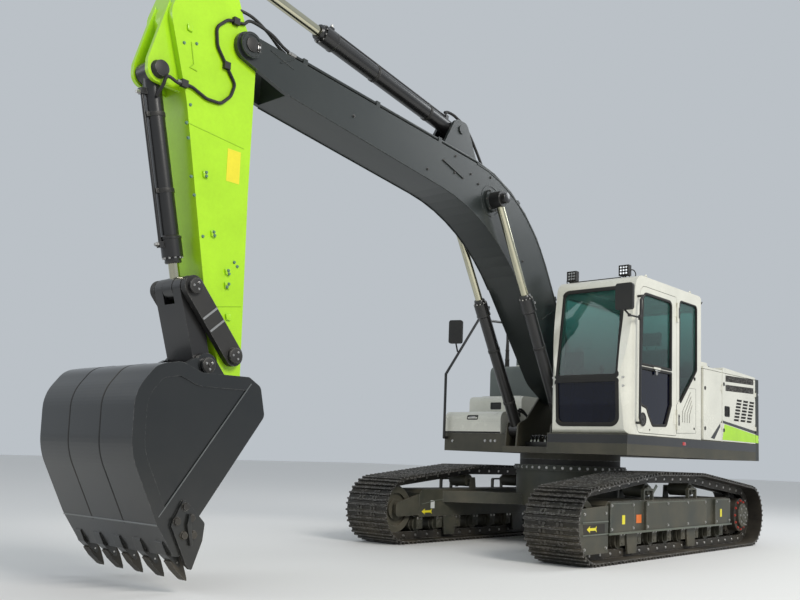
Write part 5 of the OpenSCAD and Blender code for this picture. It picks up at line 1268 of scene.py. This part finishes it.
class EXCAVATOR_OT_boom(bpy.types.Operator):
    """Add the boom's flanges, rings, plugs, clips and hoses"""

    bl_idname = "excavator.boom"
    bl_label = "Boom fittings"

    def execute(self, context):
        outline = rounded(BOOM_SIDE, 8)
        # Edges of the lower and upper plates, past the web
        lower = [p for p in outline if 1000 < p.x < 4850 and p.y < 2363.2 + p.x * 0.62 and below_middle(p)]
        upper = [p for p in outline if 520 < p.x < 5250 and not below_middle(p)]
        # Weld lines and bars on the webs: points, half width, height
        lines = ((lower, 9, 6), (upper, 9, 6), ([(5073, 4232), (4962, 4200), (4823, 4160)], 5, 4),
                 ([(4962, 4166), (4823, 4247)], 6, 8), ([(1000, 2560), (760, 2700)], 5, 4),
                 ([(2513, 3824), (2826, 3923)], 8, 12))
        plugs = [(2826, 3923), (2645, 3842), (2635, 4020), (2513, 3824), (2378, 3899), (2246, 3826),
                 (3065, 3770), (2033, 3950), (1700, 3480), (1400, 3160), (4100, 3980)]
        rings, seams, bright, dark, spots = Shape(), Shape(), Shape(), Shape(), []
        for s in (-1, 1):
            y = s * BOOM_HALF
            for points, half, high in lines:
                seams.strip(points, side_wall(y, s), half, -1, high)
            for pin, r0, r1, base in ((BOOM_EYE, 150, 172, 0), (TIP, 78, 96, 34), (BOOM_EYE, 74, 92, 30)):
                rings.cap(pin, y + s * base, s, [(-1, r1), (5, r1 - 3), (5, r0 + 3), (-1, r0)], 48)
            # Bar that keeps the tip pin, with its two screws
            bright.block((5210, y + s * 32, 4148), (5236, y + s * 46, 4226))
            dark.cap(TIP, y + s * 33, s, [(-1, 60), (10, 58), (16, 44), (16, 0.5)], 36)
            dark.cap(BOOM_EYE, y + s * 29, s, [(-1, 66), (4, 66)], 36)
            spots += heads(plugs, y, s)
            spots += heads([(5223, 4164), (5223, 4210)], y + s * 45, s)
            spots += heads(circle(BOOM_EYE, 108, 6), y + s * 29, s)
        seams.piece("boom_edges", "boom_arm", "boom_paint")
        rings.piece("boom_rings", "boom_arm", "boom_paint")
        bright.piece("pin_bars", "boom_arm", "steel_bright", bevel=3)
        dark.piece("pin_ends", "boom_arm", "cast_steel")
        bolts("boom_plugs", spots, "boom_arm", "cast_steel", 20, 10)
        self.hoses()
        return {"FINISHED"}

    def hoses(self):
        """Hoses of the arm cylinder and across the boom's tip"""
        at, d, up = along(ARM_RAM, ARM_EYE)
        port, foot = at(190, 128, 20), Vector((2020, 100, 4022))
        hose("arm_ram_hose1", [port, port + up * 30 - d * 60, at(20, 150, 40), at(-150, 60, 80),
                               foot + Vector((40, 0, 90)), foot],
             15, at(20, 140, 40))
        nuts = Shape()
        for spot in ((2050, -100, 4022), foot):
            nuts.disc(spot, UP, [(-20, 22), (30, 22)], 6)
        nuts.piece("arm_ram_nuts", "boom_arm", "steel_bright", smooth=False)
        # From the pipes' front ends across the tip to the arm
        for s in (-1, 1):
            for k, y, end in ((0, 182, Vector((5404, s * 182, 4352))),
                              (1, 138, Vector((5478, s * 140, 4470)))):
                start = Vector((4806, s * y, 4292))
                hose(f"tip_hose_{hand(s)}{k}", [
                    start, start + Vector((110, 0, 30)), Vector((5060, s * (y + 4), 4385 + 26 * k)),
                    Vector((5260, s * 183, 4412 + 40 * k)), end - Vector((70, 0, -12)), end],
                    13, (5000, s * y, 4370))
        ends = Shape()
        for y in (-182, -138, 138, 182):
            ends.disc((4806, y, 4292), (1, 0, 0.1), [(-20, 20), (34, 20), (34, 17), (60, 17)], 6)
        ends.piece("pipe_front_nuts", "boom_arm", "steel_bright", smooth=False)


class EXCAVATOR_OT_arm(bpy.types.Operator):
    """Add the arm's plugs, brackets, label, seams and hose fittings"""

    bl_idname = "excavator.arm"
    bl_label = "Arm fittings"

    def execute(self, context):
        self.hoses()
        brackets = ((5605, 3055), (5500, 2615), (5348, 2345), (5345, 2240), (5318, 1997), (5823, 4139))
        # Weld lines: points, half width, height
        lines = (([(5793, 3412), (5253, 3358)], 4, 3), ([(5460, 2060), (5196, 2098)], 4, 3),
                 ([(5800, 4038), (5768, 3874), (5801, 3839), (5735, 3832)], 5, 6))
        plugs = [(5863, 4009), (5753, 4043), (5774, 3554), (5798, 3407), (5775, 3296), (5728, 3010),
                 (5690, 2876), (5591, 2579), (5286, 2435), (5255, 2407)]
        bracket_plugs = [(5605, 3071), (5603, 3042), (5504, 2629), (5495, 2603), (5348, 2357), (5340, 2332),
                         (5337, 2253), (5352, 2228)]
        tabs, seams, bright, dark, label, spots = Shape(), Shape(), Shape(), Shape(), Shape(), []
        for s in (-1, 1):
            y = s * ARM_HALF
            for x, z in brackets:
                tabs.prism([(x - 22, z - 26), (x + 20, z - 20), (x + 26, z + 22), (x - 14, z + 26)],
                           y - s, y + s * 16)
            for points, half, high in lines:
                seams.strip(points, side_wall(y, s), half, -1, high)
            # Hose ends: place, direction, length
            for p, d, long in (((5404, s * 182, 4352), (-1, 0, 0.15), 26),
                               ((5858, s * 182, 3690), (1, 0, 0.05), 50)):
                bright.disc(p, d, [(-6, 19), (long / 2, 19), (long / 2, 15), (long, 15)], 6)
            dark.cap(BUCKET_RAM, s * 154, s, [(-42, 70), (-36, 66), (6, 60), (10, 50), (10, 0.5)], 32)
            label.block((5282, y - s, 3060), (5408, y + 1.5 * s, 3320))
            spots += heads(plugs, y, s) + heads(bracket_plugs, y + s * 15, s)
        # Tab on the arm's back edge
        x = onto("arm", (4700, 0, 2470), FORWARD)[0].x
        tabs.block((x - 60, -40, 2440), (x + 4, 40, 2456))
        tabs.block((x - 66, -40, 2440), (x - 54, 40, 2486))
        tabs.piece("arm_brackets", "stick", "arm_paint", bevel=2)
        seams.piece("arm_seams", "stick", "arm_seam")
        bright.piece("arm_hose_fittings", "stick", "steel_bright", smooth=False)
        dark.piece("arm_pin_ends", "stick", "cast_steel")
        label.piece("arm_label", "stick", "label_yellow", smooth=False)
        bolts("arm_plugs", spots, "stick", "boss_green", 18, 10)
        return {"FINISHED"}

    def hoses(self):
        """Right-hand hose like the left one's, and both hoses down to the bucket cylinder"""
        line = [(5412, 4352), (5480, 4330), (5560, 4230), (5570, 4090), (5480, 3960), (5405, 3850),
                (5420, 3740), (5510, 3655), (5640, 3645), (5770, 3680), (5850, 3690)]
        Shape().tube([(x, -182, z) for x, z in line], 13).piece("right_arm_hose", "stick", "hose_rubber")
        blocks = Shape()
        for x, z in ((5412, 4352), (5478, 3964), (5850, 3690)):
            blocks.block((x - 28, -203, z - 28), (x + 28, -168, z + 28))
        blocks.piece("right_hose_blocks", "stick", "black_plastic", bevel=2)
        at, d, up = along(BUCKET_RAM, LINK_TOP)
        for s in (-1, 1):
            bend, drop = (5900, s * 184, 3678), at(120, 0, s * 140)
            hose(f"bucket_ram_hose_{hand(s)}",
                 [(5850, s * 182, 3690), bend, at(60, -30, s * 168), drop, at(190, 20, s * 76)],
                 13, bend)


class EXCAVATOR_OT_bucket(bpy.types.Operator):
    """Add the bucket's grooves, seams, cutter bolts and pins"""

    bl_idname = "excavator.bucket"
    bl_label = "Bucket fittings"

    def execute(self, context):
        skin = [p for p in rounded(moved(BUCKET_SIDE, HINGE), 10)
                if p.x > HINGE[0] + 690 and not (p.x < HINGE[0] + 760 and p.y < HINGE[1] - 960)]
        grooves = Shape()
        for y in both(205):
            rings = []
            for i, p in enumerate(skin):
                d = (skin[min(i + 1, len(skin) - 1)] - skin[max(i - 1, 0)]).normalized()
                rings.append([(p.x + d.y * h, y + e, p.y - d.x * h)
                              for e, h in ((-6, -2), (-6, 1.2), (6, 1.2), (6, -2))])
            grooves.rings(rings)
        grooves.piece("wrapper_grooves", "bucket_tool", "rubber")
        low, high = moved([SEAM_LOW, (SEAM_HIGH[0] + 8, SEAM_HIGH[1] - 12)], HINGE)
        seams, ribs, pins, cutter, screws = Shape(), Shape(), Shape(), [], []
        for s in (-1, 1):
            seams.strip([low, high], side_wall(s * (BUCKET_HALF + 9), s), 5, -2, 3)
            y = s * (BUCKET_HALF + 31)
            cutter += heads([(5925, 590), (5985, 495), (5872, 515), (5925, 400), (5850, 400)], y, s)
            ribs.prism([(5900, 545), (5915, 470), (5880, 330), (5862, 330), (5880, 480)], y - s, y + s * 24)
            for pin, y in ((LINK_LOW, 244), (HINGE, 219)):
                pins.cap(pin, s * y, s, [(-4, 56), (6, 56), (10, 44), (10, 12), (18, 11)], 32)
                screws += heads(circle(pin, 30, 3, 0.4), s * (y + 9), s)
        seams.piece("bucket_seams", "bucket_tool", "steel_dull")
        x, z = HINGE[0] + 842, HINGE[1] - 800
        lip = Shape().rod((x, -BUCKET_HALF - 6, z), (x, BUCKET_HALF + 6, z), 7, 8)
        lip.piece("lip_seam", "bucket_tool", "steel_dull")
        bolts("cutter_bolts", cutter, "bucket_tool", "cast_steel", 44, 18)
        ribs.piece("cutter_ribs", "bucket_tool", "bucket_paint", bevel=3)
        pins.piece("bucket_pin_ends", "bucket_tool", "cast_steel")
        bolts("bucket_pin_screws", screws, "bucket_tool", "steel_bright", 14, 7)
        teeth = []
        for i in range(5):
            y = -BUCKET_HALF + 75 + i * (2 * BUCKET_HALF - 150) / 4
            c = Vector((5961, y, 280)) + Vector((-0.554, 0, -0.833)) * 78
            teeth += [(c + Vector((0, s * 40, 0)), (0, s, 0)) for s in (-1, 1)]
        bolts("tooth_pins", teeth, "bucket_tool", "steel_bright", 18, 6, "Buttons")
        return {"FINISHED"}


class EXCAVATOR_OT_cylinders(bpy.types.Operator):
    """Add the cylinders' glands, bolts, bands and fittings, and the linkage's pins"""

    bl_idname = "excavator.cylinders"
    bl_label = "Cylinders and linkage"

    def execute(self, context):
        # Name, bodies, pins, y, radius and length of the barrel, radius of the rod, radius and half
        # width of the rod's eye, radius of its pin's collar
        boom = ("boom_cylinders", "boom_pistons", BOOM_RAM, BOOM_EYE)
        rams = (("boom_left", *boom, RAM_Y, 66, 1640, 42, 84, 67.7, 53),
                ("boom_right", *boom, -RAM_Y, 66, 1640, 42, 84, 67.7, 53),
                ("arm", "arm_cylinder", "arm_piston", ARM_RAM, ARM_EYE, 0, 78, 1975, 47, 88, 54, 0),
                ("bucket", "bucket_cylinder", "bucket_piston", BUCKET_RAM, LINK_TOP, 0,
                 68, 1420, 40, 84, 60, 0))
        for name, barrel, rod, p, q, y, r, length, rod_r, eye_r, half, collar in rams:
            at, d, up = along(p, q, y)
            gland = Shape().disc(at(length - 194), d, [
                (-10, r - 2), (-10, r + 3), (0, r + 15), (16, r + 15), (26, r + 3), (26, r - 2)], 40, True)
            gland.disc(at(length - 4), d, [
                (-6, rod_r + 3), (-6, r - 3), (10, r - 10), (10, rod_r + 3)], 40, True)
            gland.piece(f"{name}_gland", barrel, "black_paint")
            bands = Shape()
            for share in (0.22, 0.62):
                bands.disc(at(length * share), d, [
                    (-16, r - 1), (-16, r + 5), (16, r + 5), (16, r - 1)], 40, True)
            for share in (0.22, 0.62):
                bands.block_at(at(length * share, r + 8), d, up, (34, 50, 26))
            bands.piece(f"{name}_bands", barrel, "cast_steel", bevel=1.5)
            ring = [(at(length - 40, a, b), d) for a, b in circle((0, 0), r, 10)]
            bolts(f"{name}_head_bolts", ring, barrel, "steel_bright", 15, 12)
            # The rod's eye is painted, not plated
            paint = Shape().cap(q, y, 1, [
                (0.5 - half, eye_r - 3), (0.5 - half, eye_r + 2), (half - 0.5, eye_r + 2),
                (half - 0.5, eye_r - 3)], 48, True)
            if collar:
                paint.cap(q, y, 1 if y > 0 else -1, [
                    (half - 2, eye_r + 2), (half + 1.5, eye_r - 2), (half + 1.5, collar + 2),
                    (half + 50, collar + 2), (half + 54, collar - 4), (half + 54, 0.5)], 48)
            paint.piece(f"{name}_eye_paint", rod, "black_paint")
            ports = Shape()
            for s in (150, length - 140):
                ports.disc(at(s, r + 44), up, [(-4, 19), (16, 19), (16, 14), (30, 14)], 6)
            ports.piece(f"{name}_ports", barrel, "steel_bright", smooth=False)
        self.linkage()
        return {"FINISHED"}

    def linkage(self):
        """Bands, pin caps and grease heads of the rockers and the link"""
        mid = (Vector(ROCKER) + Vector(LINK_TOP)) / 2
        run = (Vector(LINK_TOP) - Vector(ROCKER)).normalized()
        a, w = Vector((-run.y, run.x)) * 78, run * 8
        bright, caps, ends = Shape(), Shape(), Shape()
        trio = ((1, 0), (-0.5, 0.87), (-0.5, -0.87))
        rocker_heads, link_heads = [], []
        for s in (-1, 1):
            y = s * 229
            for c in (mid + run * t for t in (-40, 70)):
                corners = (c + a - w, c - a - w, c - a + w, c + a + w)
                bright.prism([tuple(p) for p in corners], y - s, y + s * 4)
            caps.cap(ROCKER, s * 250, s, [(-2, 60), (6, 58), (10, 46), (10, 0.5)], 32)
            ends.cap(LINK_TOP, s * 250, s, [(-2, 44), (8, 60), (14, 56), (18, 40), (18, 0.5)], 32)
            rocker_heads += heads([(ROCKER[0] + 30 * c, ROCKER[1] + 30 * v) for c, v in trio], s * 259, s)
            link_heads += heads([(LINK_TOP[0] + 28 * c, LINK_TOP[1] + 28 * v) for c, v in trio], s * 267, s)
        bright.piece("rocker_bands", "rockers", "steel_bright", smooth=False)
        caps.piece("rocker_caps", "rockers", "cast_steel")
        ends.piece("link_pin_caps", "link", "cast_steel")
        bolts("rocker_grease", rocker_heads, "rockers", "steel_bright", 13, 7)
        bolts("link_grease", link_heads, "link", "steel_bright", 13, 7)


class EXCAVATOR_OT_stage(bpy.types.Operator):
    """Set the floor, the light and the camera"""

    bl_idname = "excavator.stage"
    bl_label = "Stage"

    def execute(self, context):
        scene = context.scene
        me = bpy.data.meshes.new("floor")
        s = 60
        me.from_pydata([(-s, -s, 0), (s, -s, 0), (s, s, 0), (-s, s, 0)], [], [(0, 1, 2, 3)])
        floor = bpy.data.objects.new("floor", me)
        scene.collection.objects.link(floor)
        m = bpy.data.materials.new("floor")
        m.use_nodes = True
        m.node_tree.nodes["Principled BSDF"].inputs["Base Color"].default_value = (0.78, 0.77, 0.75, 1)
        m.node_tree.nodes["Principled BSDF"].inputs["Roughness"].default_value = 0.7
        me.materials.append(m)
        world = bpy.data.worlds.new("soft sky")
        world.use_nodes = True
        sky = world.node_tree.nodes["Background"]
        sky.inputs[0].default_value = (0.80, 0.86, 0.92, 1)
        sky.inputs[1].default_value = 0.62
        scene.world = world
        scene.view_settings.view_transform = "Standard"
        # Area lights: place, aim, size, watts, colour
        lights = (((4, 13, 10), (0, 0, 1.5), 6, 1450, (1.0, 0.97, 0.92)),
                  ((12, -6, 7), (0, 0, 2.0), 7, 220, (0.95, 0.97, 1.0)),
                  ((-9, 4, 9), (-1, 0, 2.0), 6, 380, (0.95, 0.98, 1.0)))
        for i, (spot, aim, size, watts, colour) in enumerate(lights):
            data = bpy.data.lights.new(f"softbox{i}", "AREA")
            data.shape, data.size, data.energy, data.color = "DISK", size, watts, colour
            ob = bpy.data.objects.new(f"softbox{i}", data)
            scene.collection.objects.link(ob)
            ob.location = spot
            ob.rotation_euler = (Vector(aim) - Vector(spot)).to_track_quat("-Z", "Y").to_euler()
        # Camera as the photograph was taken: place in mm, angles in radians, focal length in px
        spot, yaw, pitch, roll, focal, cx, cy = (9594, 5851, 989), 0.713, 0.109, 0.034, 908.3, 420.7, 355.7
        ahead = Vector((-math.cos(yaw) * math.cos(pitch), -math.sin(yaw) * math.cos(pitch), math.sin(pitch)))
        right = ahead.cross(Vector((0, 0, 1))).normalized()
        up = right.cross(ahead)
        across = right * math.cos(roll) + up * math.sin(roll)
        above = up * math.cos(roll) - right * math.sin(roll)
        data = bpy.data.cameras.new("camera")
        data.sensor_width, data.lens = 36, focal / 800 * 36
        data.shift_x, data.shift_y = (400 - cx) / 800, (cy - 300) / 800
        data.clip_end = 200
        cam = bpy.data.objects.new("camera", data)
        scene.collection.objects.link(cam)
        turn = Matrix((across, above, -ahead)).transposed().to_4x4()
        cam.matrix_world = Matrix.Translation(place(spot)) @ turn
        scene.camera = cam
        return {"FINISHED"}


class EXCAVATOR_PT_panel(bpy.types.Panel):
    """Colours, sizes and pieces of the excavator"""

    bl_label = "Excavator"
    bl_idname = "EXCAVATOR_PT_panel"
    bl_space_type = "VIEW_3D"
    bl_region_type = "UI"
    bl_category = "Excavator"

    def draw(self, context):
        for group in (context.scene.excavator_colours, context.scene.excavator_sizes):
            box = self.layout.box()
            for key in group.bl_rna.properties.keys():
                if key not in ("rna_type", "name"):
                    box.prop(group, key)
        for op in OPERATORS:
            self.layout.operator(op.bl_idname)


OPERATORS = (EXCAVATOR_OT_finishes, EXCAVATOR_OT_seat, EXCAVATOR_OT_cab, EXCAVATOR_OT_house,
             EXCAVATOR_OT_undercarriage, EXCAVATOR_OT_boom, EXCAVATOR_OT_arm, EXCAVATOR_OT_bucket,
             EXCAVATOR_OT_cylinders, EXCAVATOR_OT_stage)
CLASSES = (ExcavatorColours, ExcavatorSizes, *OPERATORS, EXCAVATOR_PT_panel)


def register():
    for c in CLASSES:
        bpy.utils.register_class(c)
    bpy.types.Scene.excavator_colours = PointerProperty(type=ExcavatorColours)
    bpy.types.Scene.excavator_sizes = PointerProperty(type=ExcavatorSizes)


def unregister():
    del bpy.types.Scene.excavator_sizes
    del bpy.types.Scene.excavator_colours
    for c in reversed(CLASSES):
        bpy.utils.unregister_class(c)


def main():
    register()
    for op in OPERATORS:
        group, name = op.bl_idname.split(".")
        getattr(getattr(bpy.ops, group), name)()


if __name__ == "__main__":
    main()
